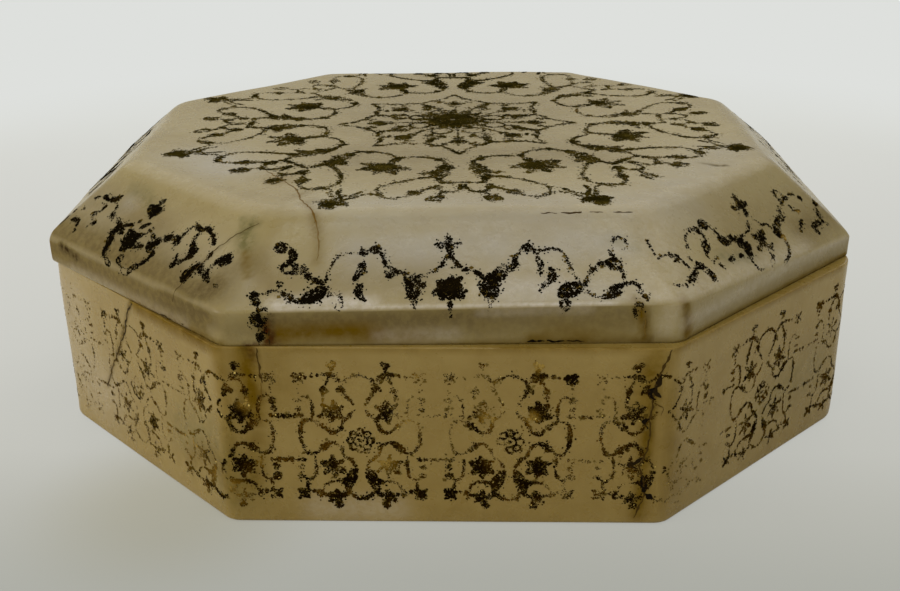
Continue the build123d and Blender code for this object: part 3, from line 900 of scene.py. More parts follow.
# The lattice round the walls
# Arabesque of fine black grains bedded in lacquer on the stone, drawn by brush and worn: C scrolls, lilies,
# trefoils and eight-petal rosettes, repeated along each wall, rubbed off in places and gilt in others.


def vine(width, *stops):
    """A brush line of nearly even width."""
    line = smooth_path(stops)
    last = len(line) - 1
    return [[(p.x, p.y, width * min(1, 0.6 + 2.4 * min(k, last - k) / last)) for k, p in enumerate(line)]]


def leaf(width, *stops):
    """A pointed leaf along the stops, widest a little before its middle."""
    line = smooth_path(stops)
    last = len(line) - 1
    return [[(p.x, p.y, max(0.3, width * sin(pi * (k / last) ** 0.85) ** 0.75)) for k, p in enumerate(line)]]


def bud(x, y, radius=0.5):
    """A round touch of the brush."""
    turns = (0.3, 0.9, pi / 2, pi - 0.9, pi - 0.3)
    return [[(x - radius * cos(a), y, 2 * radius * sin(a) + 0.02) for a in turns]]


def loop(x, y, radius, width=0.5):
    return [[(x + radius * cos(a), y + radius * sin(a), width) for a in (pi / 9 * k for k in range(19))]]


def beads(*stops, radius=0.34, gap=0.95):
    """A line of separate dots."""
    line = smooth_path(stops, gap)
    return [touch for p in line for touch in bud(p.x, p.y, radius)]


def fan(x, y, width, *tips):
    """Petals from one point to each tip."""
    return [petal for tip in tips for petal in leaf(width, (x, y), (x + tip[0], y + tip[1]))]


def flipped(strokes):
    return [[(-x, y, w) for x, y, w in stroke] for stroke in strokes]


def mirrored(strokes):
    return strokes + flipped(strokes)


def moved(strokes, dx, dy):
    return [[(x + dx, y + dy, w) for x, y, w in stroke] for stroke in strokes]


def turned(strokes, degrees):
    c, s = cos(radians(degrees)), sin(radians(degrees))
    return [[(c * x - s * y, s * x + c * y, w) for x, y, w in stroke] for stroke in strokes]


flakes = bpy.data.node_groups.new("bedded grains", "GeometryNodeTree")
flake_sockets = {}
for socket, kind in (
    ("Geometry", "NodeSocketGeometry"), ("Grains per square metre", "NodeSocketFloat"),
    ("Grain size", "NodeSocketFloat"), ("Traces per square metre", "NodeSocketFloat"),
    ("Trace size", "NodeSocketFloat"), ("Seed", "NodeSocketInt"), ("Finish", "NodeSocketMaterial"),
):
    made = flakes.interface.new_socket(socket, in_out="INPUT", socket_type=kind)
    flake_sockets[socket] = made.identifier
flakes.interface.new_socket("Geometry", in_out="OUTPUT", socket_type="NodeSocketGeometry")
nodes, links = flakes.nodes, flakes.links
given, result = nodes.new("NodeGroupInput"), nodes.new("NodeGroupOutput")


def number_socket(sockets, name):
    return [s for s in sockets if s.name == name and s.type == "VALUE" and s.enabled][0]


def strewn(attribute, crowding, size, seed, depth, least, most, tones):
    """Low four-sided flakes strewn on the strokes as thickly as the attribute says, each with a tone."""
    cover = nodes.new("GeometryNodeInputNamedAttribute")
    cover.data_type = "FLOAT"
    cover.inputs["Name"].default_value = attribute
    crowd = nodes.new("ShaderNodeMath")
    crowd.operation = "MULTIPLY"
    links.new(cover.outputs["Attribute"], crowd.inputs[0])
    links.new(given.outputs[crowding], crowd.inputs[1])
    own_seed = nodes.new("ShaderNodeMath")
    own_seed.inputs[1].default_value = seed
    links.new(given.outputs["Seed"], own_seed.inputs[0])
    strew = nodes.new("GeometryNodeDistributePointsOnFaces")
    links.new(given.outputs["Geometry"], strew.inputs["Mesh"])
    links.new(crowd.outputs["Value"], strew.inputs["Density"])
    links.new(own_seed.outputs["Value"], strew.inputs["Seed"])
    flake = nodes.new("GeometryNodeMeshCone")
    flake.inputs["Vertices"].default_value = 4
    flake.inputs["Radius Top"].default_value = 0.0
    flake.inputs["Radius Bottom"].default_value = 1.0
    flake.inputs["Depth"].default_value = depth
    spin = nodes.new("FunctionNodeRandomValue")
    spin.data_type = "FLOAT_VECTOR"
    most_tilt = 0.35 * depth
    spin.inputs["Min"].default_value = (-most_tilt, -most_tilt, 0)
    spin.inputs["Max"].default_value = (most_tilt, most_tilt, 2 * pi)
    tilt = nodes.new("FunctionNodeEulerToRotation")
    links.new(spin.outputs["Value"], tilt.inputs["Euler"])
    lie = nodes.new("FunctionNodeRotateRotation")
    lie.rotation_space = "LOCAL"
    links.new(strew.outputs["Rotation"], lie.inputs["Rotation"])
    links.new(tilt.outputs["Rotation"], lie.inputs["Rotate By"])
    shape = nodes.new("FunctionNodeRandomValue")
    shape.data_type = "FLOAT_VECTOR"
    shape.inputs["Min"].default_value = least
    shape.inputs["Max"].default_value = most
    shape.inputs["Seed"].default_value = 7
    bulk = nodes.new("GeometryNodeInputNamedAttribute")
    bulk.data_type = "FLOAT"
    bulk.inputs["Name"].default_value = "bulk"
    own_size = nodes.new("ShaderNodeMath")
    own_size.operation = "MULTIPLY"
    links.new(bulk.outputs["Attribute"], own_size.inputs[0])
    links.new(given.outputs[size], own_size.inputs[1])
    sized = nodes.new("ShaderNodeVectorMath")
    sized.operation = "SCALE"
    links.new(shape.outputs["Value"], sized.inputs[0])
    links.new(own_size.outputs["Value"], sized.inputs["Scale"])
    bed = nodes.new("GeometryNodeInstanceOnPoints")
    links.new(strew.outputs["Points"], bed.inputs["Points"])
    links.new(flake.outputs["Mesh"], bed.inputs["Instance"])
    links.new(lie.outputs["Rotation"], bed.inputs["Rotation"])
    links.new(sized.outputs["Vector"], bed.inputs["Scale"])
    tone = nodes.new("FunctionNodeRandomValue")
    tone.data_type = "FLOAT"
    number_socket(tone.inputs, "Min").default_value = tones[0]
    number_socket(tone.inputs, "Max").default_value = tones[1]
    tone.inputs["Seed"].default_value = 3
    keep_tone = nodes.new("GeometryNodeStoreNamedAttribute")
    keep_tone.data_type, keep_tone.domain = "FLOAT", "INSTANCE"
    keep_tone.inputs["Name"].default_value = "tone"
    links.new(bed.outputs["Instances"], keep_tone.inputs["Geometry"])
    links.new(number_socket(tone.outputs, "Value"), number_socket(keep_tone.inputs, "Value"))
    return keep_tone.outputs["Geometry"]


grains_laid = strewn(
    "cover", "Grains per square metre", "Grain size", 0, 0.5, (0.5, 0.5, 0.6), (1.5, 1.15, 1.1), (0, 1)
)
traces_laid = strewn(
    "trace", "Traces per square metre", "Trace size", 500, 0.06, (0.6, 0.5, 1.0), (1.4, 1.1, 1.0), (2, 3)
)
both = nodes.new("GeometryNodeJoinGeometry")
links.new(grains_laid, both.inputs["Geometry"])
links.new(traces_laid, both.inputs["Geometry"])
whole = nodes.new("GeometryNodeRealizeInstances")
links.new(both.outputs["Geometry"], whole.inputs["Geometry"])
finish = nodes.new("GeometryNodeSetMaterial")
links.new(whole.outputs["Geometry"], finish.inputs["Geometry"])
links.new(given.outputs["Finish"], finish.inputs["Material"])
links.new(finish.outputs["Geometry"], result.inputs["Geometry"])

# Tones up to 1 are grains, from black to brown, with a rare glint of gold above the dullest tone; tones
# from 2 on are flat traces of the lacquer.
trace_dark, trace_pale = srgb(78, 60, 18), srgb(112, 94, 46)
gilt_dull, gilt_bright = srgb(140, 106, 30), srgb(214, 190, 110)
grain_look = bpy.data.node_groups.new("worn grains", "ShaderNodeTree")
for socket in ("Black", "Brown", "Amber"):
    grain_look.interface.new_socket(socket, in_out="INPUT", socket_type="NodeSocketColor")
grain_look.interface.new_socket("Dullest", in_out="INPUT", socket_type="NodeSocketFloat")
grain_look.interface.new_socket("Color", in_out="OUTPUT", socket_type="NodeSocketColor")
grain_look.interface.new_socket("Metallic", in_out="OUTPUT", socket_type="NodeSocketFloat")
nodes, links = grain_look.nodes, grain_look.links
browns_in, grains_out = nodes.new("NodeGroupInput"), nodes.new("NodeGroupOutput")
tone_of, warmth, gilt = mark_of("tone"), mark_of("warmth"), mark_of("gilt")
is_trace = sums("GREATER_THAN", tone_of, 1.5)
above_dullest = sums("GREATER_THAN", tone_of, browns_in.outputs["Dullest"])
is_glint = sums("MULTIPLY", above_dullest, sums("LESS_THAN", tone_of, 1.5))
brown_share = sums("ADD", sums("MULTIPLY", tone_of, 0.4), sums("MULTIPLY", warmth, 0.8))
amber_share = sums("MULTIPLY", warmth, sums("MULTIPLY", tone_of, warmth))
dark_mix = tinted(browns_in.outputs["Black"], browns_in.outputs["Brown"], brown_share)
dark_mix = tinted(dark_mix, browns_in.outputs["Amber"], amber_share)
trace_mix = tinted(trace_dark, trace_pale, sums("SUBTRACT", tone_of, 2.0))
shiny = sums("MULTIPLY", sums("MAXIMUM", gilt, is_glint), sums("SUBTRACT", 1.0, is_trace))
gold = tinted(gilt_dull, gilt_bright, sums("MAXIMUM", is_glint, sums("SUBTRACT", gilt, 0.6)))
links.new(tinted(tinted(dark_mix, trace_mix, is_trace), gold, shiny), grains_out.inputs["Color"])
links.new(sums("MULTIPLY", shiny, 0.7), grains_out.inputs["Metallic"])


def grain_finish(name, black, brown, amber, dullest):
    """Grains of three browns, of which those above the dullest tone still glint with gold."""
    material = bpy.data.materials.new(name)
    nodes, links = nodes_of(material)
    grain = nodes["Principled BSDF"]
    look = nodes.new("ShaderNodeGroup")
    look.node_tree = grain_look
    for socket, value in (("Black", black), ("Brown", brown), ("Amber", amber), ("Dullest", dullest)):
        look.inputs[socket].default_value = value
    links.new(look.outputs["Color"], grain.inputs["Base Color"])
    links.new(look.outputs["Metallic"], grain.inputs["Metallic"])
    grain.inputs["Roughness"].default_value = 0.7
    grain.inputs["Specular IOR Level"].default_value = 0.0
    return material


wall_grains = grain_finish("brown-black grains", srgb(15, 8, 1), srgb(34, 19, 1), srgb(98, 68, 12), 0.994)
top_grains = grain_finish("olive-black grains", srgb(28, 24, 5), srgb(54, 46, 11), srgb(88, 75, 28), 0.9997)
facet_grains = grain_finish("black grains", srgb(11, 8, 3), srgb(28, 20, 6), srgb(60, 46, 14), 0.9997)


def falloff(patches, x, y):
    """The strongest of the listed round patches (x, y, radius, amount) at a place, 0 outside them all."""
    felt = [amount * max(0, 1 - (hypot(x - px, y - py) / radius) ** 2) for px, py, radius, amount in patches]
    return max(felt or [0])


# The brush drifts this far over this length; stray grains lie this far beside a stroke, all in millimetres.
drift_reach, drift_length = 0.15, 2.2
stray_reach = 1.3
trace_size = 0.36


def lay(
    name, plane, strokes, body, inside, finish, seed, worn, gilded, inky,
    dense, size, weight, warm, traces, dust, lump, solid, stray,
):
    """Projects brush strokes onto the stone and beds grains along them, as one piece.

    The grains clot into blots that thin lines of dust join. Worn, gilded and inky are patches. Dense and
    traces count grains and traces to the square millimetre, size is a grain's and lump a blot's in
    millimetres, and weight widens the strokes. Warm, dust, solid and stray say from 0 to 1 how brown the
    grains are, how thick the dust and the blots lie, and how thick the stray grains beside a stroke.
    """
    points, faces = [], []
    written = {"cover": [], "trace": [], "gilt": [], "bulk": [], "warmth": []}
    shake = Vector((seed * 7.3, seed * 3.1, 0))

    def clot(x, y):
        near = noise.noise(Vector((x, y, 9)) / lump + shake)
        near += 0.5 * noise.noise(Vector((x, y, 3)) / 2.6 + shake)
        ink = falloff(inky, x, y)
        bare = falloff(worn, x, y)
        return min(1.0, max(0.0, solid + 1.6 * near + ink - 0.9 * bare)), ink, bare

    scatter = [(stroke, 1.0) for stroke in strokes]
    for stroke in strokes:
        scatter.append(([(x, y, w + stray_reach) for x, y, w in stroke[::2] + stroke[-1:]], stray))
    for stroke, share in scatter:
        row = []
        for k, (x, y, width) in enumerate(stroke):
            x0, y0, _ = stroke[max(k - 1, 0)]
            x1, y1, _ = stroke[min(k + 1, len(stroke) - 1)]
            length = hypot(x1 - x0, y1 - y0) or 1.0
            side = Vector((y0 - y1, x1 - x0)) / length
            drift = noise.noise_vector(Vector((x, y, 0)) / drift_length + shake) * drift_reach
            swell = weight * (0.62 + 0.6 * clot(x, y)[0])
            pair = []
            for s in (0.5, -0.5):
                px, py = x + drift.x + side.x * s * width * swell, y + drift.y + side.y * s * width * swell
                hit = on_stone(body, plane, px, py) if inside(px, py) else None
                pair.append(hit and (hit + plane[3] * 0.02, px, py))
            row.append(pair)
        for a, b in zip(row, row[1:]):
            if not all(a + b):
                continue
            first = len(points)
            for place, px, py in (*a, *reversed(b)):
                points.append(place * MM)
                full, ink, bare = clot(px, py)
                written["cover"].append(share * max(0.0, dust + (1.25 - dust) * full - 0.6 * bare))
                written["trace"].append(share * (0.6 + 0.4 * bare))
                written["gilt"].append(min(1.0, falloff(gilded, px, py) * (0.6 + full)))
                written["bulk"].append(0.55 + 0.6 * full)
                warmth = warm + 1.3 * noise.noise(Vector((px, py, 6)) / 3.1 + shake) - ink
                written["warmth"].append(min(1.0, max(0.0, warmth)))
            faces.append((first + 3, first + 2, first + 1, first))
    sheet = bpy.data.meshes.new(name + " strokes")
    sheet.from_pydata(points, [], faces)
    for attribute, values in written.items():
        sheet.attributes.new(attribute, "FLOAT", "POINT").data.foreach_set("value", values)
    guide = bpy.data.objects.new(name + " strokes", sheet)
    bpy.context.scene.collection.objects.link(guide)
    bedding = guide.modifiers.new("grains", "NODES")
    bedding.node_group = flakes
    bedding[flake_sockets["Grains per square metre"]] = dense * 1e6
    bedding[flake_sockets["Grain size"]] = size * MM
    bedding[flake_sockets["Traces per square metre"]] = traces * 1e6
    bedding[flake_sockets["Trace size"]] = trace_size * MM
    bedding[flake_sockets["Seed"]] = seed
    bedding[flake_sockets["Finish"]] = finish
    ready = guide.evaluated_get(bpy.context.evaluated_depsgraph_get())
    grains = bpy.data.meshes.new_from_object(ready)
    bpy.data.objects.remove(guide)
    grains.name = name
    grains.materials.clear()
    return put(name + "_grains", grains, finish, body, "ornament", name)


scroll = (
    vine(0.62, (-0.8, -4.6), (-1.6, -3.3), (-2.6, -2.6), (-3.1, -1.1), (-4.6, -0.4), (-5.9, -1.2))
    + leaf(1.3, (-4.6, -0.5), (-5.9, -1.3), (-7.0, -2.2))
    + vine(0.62, (-6.6, -2.1), (-8.1, -2.2), (-8.9, -0.6), (-9.1, 1.4), (-8.6, 3.2), (-7.2, 3.5))
    + leaf(1.3, (-7.2, 3.4), (-6.1, 2.9), (-4.8, 1.6))
    + vine(0.62, (-5.2, 2.0), (-4.4, 1.3), (-3.0, 1.9), (-2.4, 3.6), (-1.6, 4.2), (-0.8, 5.3))
)
lilies = fan(-4.3, -4.3, 1.25, (-2.1, 0.6), (-1.6, -1.6), (0.2, -2.3), (1.9, -1.3), (1.8, 0.9), (-0.1, 1.9))
lilies += fan(-4.25, 4.8, 1.25, (-2.1, -0.7), (-1.5, 1.6), (0.3, 2.2), (1.8, 1.2), (1.7, -1.0), (-0.1, -1.8))
loops = (
    vine(0.5, (-7.1, -2.6), (-7.0, -4.6), (-7.3, -6.3), (-8.3, -6.9), (-9.2, -6.4))
    + vine(0.5, (-7.3, 3.4), (-7.1, 5.2), (-7.4, 7.0), (-8.3, 7.7), (-9.2, 7.2)) + bud(-9.4, -6.2, 0.7)
    + bud(-9.3, -4.6, 0.6) + bud(-9.4, 6.9, 0.7) + bud(-9.3, 5.4, 0.6)
    + beads((-8.9, -3.3), (-11.5, -3.4), radius=0.42) + beads((-8.9, 4.3), (-11.5, 4.2), radius=0.42)
)
hem = (
    leaf(1.7, (-0.7, -4.9), (-1.8, -7.0), (-2.5, -9.2))
    + leaf(1.0, (-1.4, -6.5), (-2.8, -7.2), (-3.9, -7.1))
    + vine(0.7, (-2.2, -8.9), (-1.2, -9.9), (0.0, -10.4))
    + vine(0.5, (-3.1, -7.1), (-4.6, -7.2), (-5.8, -7.8), (-6.1, -8.8)) + bud(-6.5, -9.5, 0.6)
    + beads((-6.6, -9.0), (-8.3, -9.0))
    + fan(-3.9, -9.9, 0.95, (-2.0, 0.4), (-1.5, -0.9), (0.2, -1.6), (1.7, 0.4), (-0.3, 1.3))
    + bud(-3.7, -11.4, 0.65) + vine(0.5, (-8.4, -7.1), (-8.5, -8.4))
    + fan(-9.1, -9.4, 1.0, (0.9, 0.9), (-0.9, 0.9), (-0.9, -0.9), (0.9, -0.9))
)
crest = (
    vine(0.6, (-2.4, 10.0), (-1.3, 10.8), (0.0, 11.2))
    + vine(0.5, (-2.3, 9.8), (-2.4, 8.4), (-1.6, 7.2), (-0.9, 6.1)) + bud(-2.3, 8.6, 0.5)
    + leaf(1.4, (-2.6, 9.9), (-4.1, 11.1), (-5.4, 10.9)) + bud(-4.4, 12.7, 0.5) + bud(-3.7, 12.9, 0.45)
    + bud(-4.0, 12.1, 0.4) + leaf(1.0, (-2.4, 9.6), (-3.4, 8.2)) + leaf(0.9, (-3.6, 10.9), (-5.6, 11.2))
    + vine(0.5, (-4.4, 10.6), (-5.3, 8.8), (-5.5, 6.7)) + bud(-5.3, 8.5, 0.6)
    + beads((-6.2, 11.0), (-8.0, 10.7), radius=0.28) + beads((-9.1, 9.6), (-9.2, 8.2), radius=0.25)
    + fan(-9.1, 10.6, 1.0, (0.9, 0.8), (-0.9, 0.8), (-0.9, -0.8), (0.9, -0.8))
)
half_unit = scroll + lilies + loops + hem + crest
wall_unit = mirrored(half_unit)
wall_rosette = []
for k in range(8):
    wall_rosette += loop(1.45 * cos(pi / 4 * k), 1.45 * sin(pi / 4 * k), 0.55, 0.36)
wall_rosette += bud(0, 0, 0.5)

wall_patterns = {
    "front": ([-35.3, -12.9, 9.8, 32.6], 13.7),
    "front_right": ([-24.2, 1.9, 27.0], 12.6),
    "right": ([-28.5, -9.5, 9.5, 28.5], 13.5),
    "back_right": ([-25.2, 0.0, 25.2], 13.3),
    "back": ([-34.0, -11.3, 11.3, 34.0], 13.6),
    "back_left": ([-25.2, 0.0, 25.2], 13.3),
    "left": ([-28.5, -9.5, 9.5, 28.5], 13.5),
    "front_left": ([-26.0, -2.2, 21.5], 12.8),
}
wall_worn = {
    "front": [
        (-2, 20, 7, 0.85), (5, 23, 6, 0.8), (22, 20, 5, 0.9), (21, 9, 4, 0.7), (-22, 22, 4, 0.6),
        (0.5, 12, 4, 0.7),
        (-25, 24, 3, 0.5), (17, 5, 3, 0.5), (29, 8, 4, 0.5), (24, 24, 4, 0.6), (7, 12.5, 3, 0.6),
        (-9, 6, 3, 0.4),
    ],
    "front_right": [
        (-14, 12, 7, 0.9), (-22, 10, 8, 0.9), (-18, 4, 8, 0.9), (12, 20, 5, 0.5), (20, 15, 8, 0.5),
        (-16, 20, 6, 0.6),
    ],
    "front_left": [
        (-24, 22, 12, 1.0), (-24, 8, 13, 1.0), (-12, 16, 6, 0.8), (9, 17, 6, 0.75), (14, 24, 6, 0.8),
        (4, 10, 4, 0.6),
        (-2, 12, 26, 0.5), (8, 5, 5, 0.7),
    ],
}
wall_inky = {
    "front": [
        (-14.7, 7.0, 2.2, 1.0), (-11.0, 7.0, 2.2, 1.0), (-16.9, 3.7, 2.6, 1.0), (-12.8, 3.6, 2.2, 0.9),
        (-9.2, 3.6, 2.8, 0.7), (-21.9, 4.1, 1.5, 0.8),
        (5.4, 9.3, 2.6, 0.6), (14.2, 9.2, 2.6, 0.7), (0.6, 4.1, 1.8, 0.8), (6.4, 4.4, 3.0, 0.6),
        (12, 6.0, 3.0, 0.6), (14.2, 18.6, 2.4, 0.6),
        (18.8, 24.4, 1.5, 0.7), (-33, 9, 5, 0.7), (-32, 19, 4, 0.7), (-27, 10, 3, 0.4), (1, 9, 2.5, 0.6),
        (31, 8, 3, 0.5),
    ],
    "front_right": [(-13, 21, 3, 0.6), (2, 22, 3, 0.6), (1, 8, 4, 0.5), (8, 13, 4, 0.4)],
    "front_left": [
        (23.5, 19, 4, 0.9), (24.5, 9, 4, 0.9), (20, 3.5, 3, 0.8), (2, 8, 3, 0.5), (-1, 16, 2, 0.5),
    ],
}
wall_gilded = {
    "front": [
        (-17.3, 26.5, 1.6, 0.8), (-5.6, 16.5, 2.4, 1.0), (-3.7, 24.3, 1.6, 0.9), (-9.3, 10, 2.6, 0.7),
        (-17.5, 20.5, 2, 0.6),
        (13.9, 26.5, 1.4, 0.9), (6.8, 18, 2.2, 0.9), (8, 23, 1.4, 0.8), (13, 17.8, 1.4, 0.7),
        (-28, 10, 1.5, 0.6),
        (-33, 4.5, 3, 0.6), (-30, 20, 1.5, 0.7),
    ],
    "front_right": [(-15.5, 14.5, 2.2, 0.9), (-17, 8, 4, 0.45), (-21, 5, 3, 0.4)],
    "front_left": [(14, 9, 4.5, 0.75), (15, 16, 3, 0.6), (8, 8, 3, 0.6), (20, 6, 3, 0.5)],
}
wall_weights = {"front": 0.87, "front_right": 0.58, "front_left": 0.7}
lattice_low, lattice_high = 1.0, 28.0
for k, side in enumerate(side_names):
    centres, middle = wall_patterns[side]
    low, high = octagon(base_setback)[k], octagon(base_setback)[(k + 1) % 8]
    reach = hypot(high[0] - low[0], high[1] - low[1]) / 2
    strokes = []
    for number, centre in enumerate(centres):
        strokes += moved(wall_unit, centre, middle)
        if 0 < number < len(centres) - 1:
            strokes += moved(wall_rosette, centre, middle)
    lay(
        "wall_" + side, walls[side], strokes, "base",
        lambda x, y: abs(x + wall_fields[side][0]) < reach and lattice_low < y < lattice_high,
        wall_grains, 11 + k,
        worn=wall_worn.get(side, [(-12, 20, 6, 0.7), (10, 8, 6, 0.6), (16, 22, 5, 0.7)]),
        gilded=wall_gilded.get(side, [(-6, 17, 3, 0.8), (13, 9, 3, 0.6)]),
        inky=wall_inky.get(side, [(2, 8, 4, 0.5)]),
        dense=36.0, size=0.17, weight=wall_weights.get(side, 0.86), warm=0.55,
        traces=3.0, dust=0.5, lump=0.5, solid=0.62, stray=0.02,
    )

# The medallion on the lid's top
# An eight-pointed star round a many-petalled rosette, ringed by lilies between pairs of split leaves whose
# vines run out to small finials. Drawn freehand in the same black grains, so that no two units quite agree.


def eightfold(strokes, first=0.0):
    return [stroke for k in range(8) for stroke in turned(strokes, first + 45 * k)]


long_petal, short_petal = leaf(2.0, (1.0, 0), (8.2, 0)), leaf(2.6, (0.2, 0), (5.2, 0))
rosette = [petal for k in range(16) for petal in turned(long_petal, 22.5 * k)]
rosette = moved(rosette + eightfold(short_petal, 11), -0.3, 1.6)
rosette += eightfold(loop(0, -7.8, 2.0, 0.42), 22.5)
star = mirrored(
    leaf(1.4, (5.2, -9.8), (5.5, -12.0), (5.3, -14.4))
    + vine(0.55, (5.5, -14.2), (6.5, -15.8))
    + vine(0.6, (6.5, -15.8), (5.2, -16.6), (4.4, -17.8))
    + vine(0.6, (4.4, -17.8), (3.4, -17.2), (2.8, -19.0))
    + vine(0.6, (2.8, -19.0), (1.7, -19.5), (1.2, -21.0))
    + vine(0.55, (1.2, -21.0), (0.5, -22.0), (0, -23.2))
    + leaf(0.8, (3.2, -9.6), (2.6, -12.2)) + leaf(0.7, (3.4, -15.6), (2.0, -17.0))
)
star += vine(0.4, (0, -6.5), (0, -12.5))
star += fan(0, -15.3, 1.4, (2.0, 0.1), (-2.0, 0.1), (0, 2.2), (0, -2.2), (1.3, 1.4), (-1.3, 1.4))
star += fan(0, -12.2, 0.8, (1.0, -0.9), (-1.0, -0.9))
lily = turned(
    fan(
        0, -32.6, 2.1, (0, -5.4), (3.6, -4.2), (-3.6, -4.2), (4.8, -0.1), (-4.8, -0.1),
        (1.9, 1.4), (-1.9, 1.4),
    )
    + bud(0, -32.8, 1.5) + leaf(1.3, (0, -31.5), (0, -26.6)) + bud(0, -27.0, 0.7), 22.5,
)
calyx_vines = (
    vine(0.55, (9.5, -25.0), (7.0, -24.6), (4.8, -25.0), (3.3, -26.0), (2.3, -27.5), (2.2, -29.2))
    + bud(3.5, -26.2, 0.8)
    + vine(0.55, (10.4, -25.0), (11.4, -23.0), (13.5, -21.6), (16.0, -21.0), (18.4, -22.2), (19.7, -24.0))
    + bud(16.0, -21.0, 0.7)
)
arch = mirrored(
    leaf(2.7, (2.2, -28.6), (2.7, -31.5), (3.6, -34.6), (3.9, -38.4))
    + leaf(1.7, (3.2, -33.0), (5.0, -34.2), (7.3, -34.6))
    + leaf(1.3, (4.0, -35.6), (5.4, -36.8), (7.0, -37.0))
    + vine(0.9, (3.9, -37.2), (3.6, -39.2), (3.0, -40.6))
) + vine(0.85, (-4.0, -40.3), (-1.5, -40.0), (1.5, -40.1), (4.0, -40.4))
outer = mirrored(
    vine(0.6, (5.6, -36.6), (8.0, -37.8), (10.5, -39.3), (12.6, -41.2), (13.9, -43.2), (13.8, -45.6))
    + leaf(1.3, (13.9, -45.2), (13.2, -47.0), (11.8, -48.4))
    + beads((11.4, -48.3), (9.4, -47.4), radius=0.4)
    + leaf(1.7, (9.2, -47.2), (7.8, -45.4), (6.3, -43.8)) + leaf(1.1, (8.6, -44.2), (7.2, -46.6))
    + vine(0.6, (6.4, -43.9), (5.2, -43.0), (4.0, -41.2)) + leaf(1.5, (4.3, -41.0), (4.3, -44.0))
    + leaf(0.7, (4.2, -43.6), (3.2, -45.2), (4.2, -47.0))
    + vine(0.5, (0.4, -41.0), (0.5, -43.4), (1.2, -45.0), (2.6, -45.6)) + bud(2.7, -45.4, 0.6)
    + bud(4.0, -48.4, 0.8) + bud(5.4, -49.3, 0.8)
    + vine(0.6, (4.2, -47.2), (3.4, -48.2), (3.9, -49.6), (5.0, -50.0))
    + leaf(1.1, (4.4, -47.4), (5.8, -48.2))
)
finial = (
    beads((13.8, -46.3), (15.5, -45.8), (17.0, -47.0), (18.6, -48.2), radius=0.32, gap=0.8)
    + beads((19.8, -43.0), (20.2, -45.0), (19.6, -47.0), (19.5, -48.4), radius=0.36, gap=0.75)
    + fan(20.0, -49.8, 1.3, (-1.9, -1.8), (2.7, -0.2), (1.4, -3.4), (-0.6, 1.5), (-1.9, -0.2), (2.3, -1.9))
)


def on_top(x, y):
    """Whether a place in the medallion's plane is on the flat top, a little in from its edge."""
    spot = lie_of_lid.inverted() @ on_plane(top_plane, x, y)
    ends = octagon(slope_run + 0.7)
    sides = zip(ends, ends[1:] + ends[:1])
    return all((b[0] - a[0]) * (spot.y - a[1]) > (b[1] - a[1]) * (spot.x - a[0]) for a, b in sides)


def lean(strokes, sway):
    """The freehand drift of a ring of units: every point turns away from the front or towards it."""
    drawn = []
    for stroke in strokes:
        row = []
        for x, y, w in stroke:
            a, r = atan2(x, -y), hypot(x, y)
            a += radians(sway) * sin(a)
            row.append((r * sin(a), -r * cos(a), w))
        drawn.append(row)
    return drawn


def both_sides(strokes):
    """A unit's drawing with its mirror image in the line between it and its neighbour."""
    return strokes + turned(flipped(strokes), 45)


top_worn = [(-30, 30, 18, 0.4), (34, 32, 18, 0.4), (-41, -10, 6, 0.3), (2, 16, 16, 0.3), (36, 8, 16, 0.3)]
top_gilded = [(-8, -15, 1.2, 0.5), (24, 8, 1.5, 0.5)]
top_inky = [(0, 0, 60, 0.25), (-31, -28, 6, 0.7), (27, -30, 5, 0.5), (44, -12, 6, 0.4), (0, 37, 20, 0.6)]
vines = lean(eightfold(calyx_vines), 1.0) + eightfold(outer) + eightfold(both_sides(finial))
# Each part of the medallion: its strokes, grains to the square millimetre, weight and seed.
medallion_parts = {
    "lid_rosette": (rosette, 26.0, 1.1, 31),
    "lid_star": (lean(eightfold(star), -3.5), 26.0, 1.15, 32),
    "lid_lilies": (lean(eightfold(lily), 2.0), 28.0, 1.1, 33),
    "lid_arches": (lean(eightfold(arch), 1.0), 28.0, 1.15, 34),
    "lid_vines": (vines, 26.5, 1.3, 35),
}
for name, (strokes, dense, weight, seed) in medallion_parts.items():
    lay(
        name, top_plane, strokes, "lid", on_top, top_grains, seed,
        worn=top_worn, gilded=top_gilded, inky=top_inky,
        dense=dense, size=0.19, weight=weight, warm=0.5,
        traces=1.5, dust=0.5, lump=0.62, solid=0.55, stray=0.05,
    )

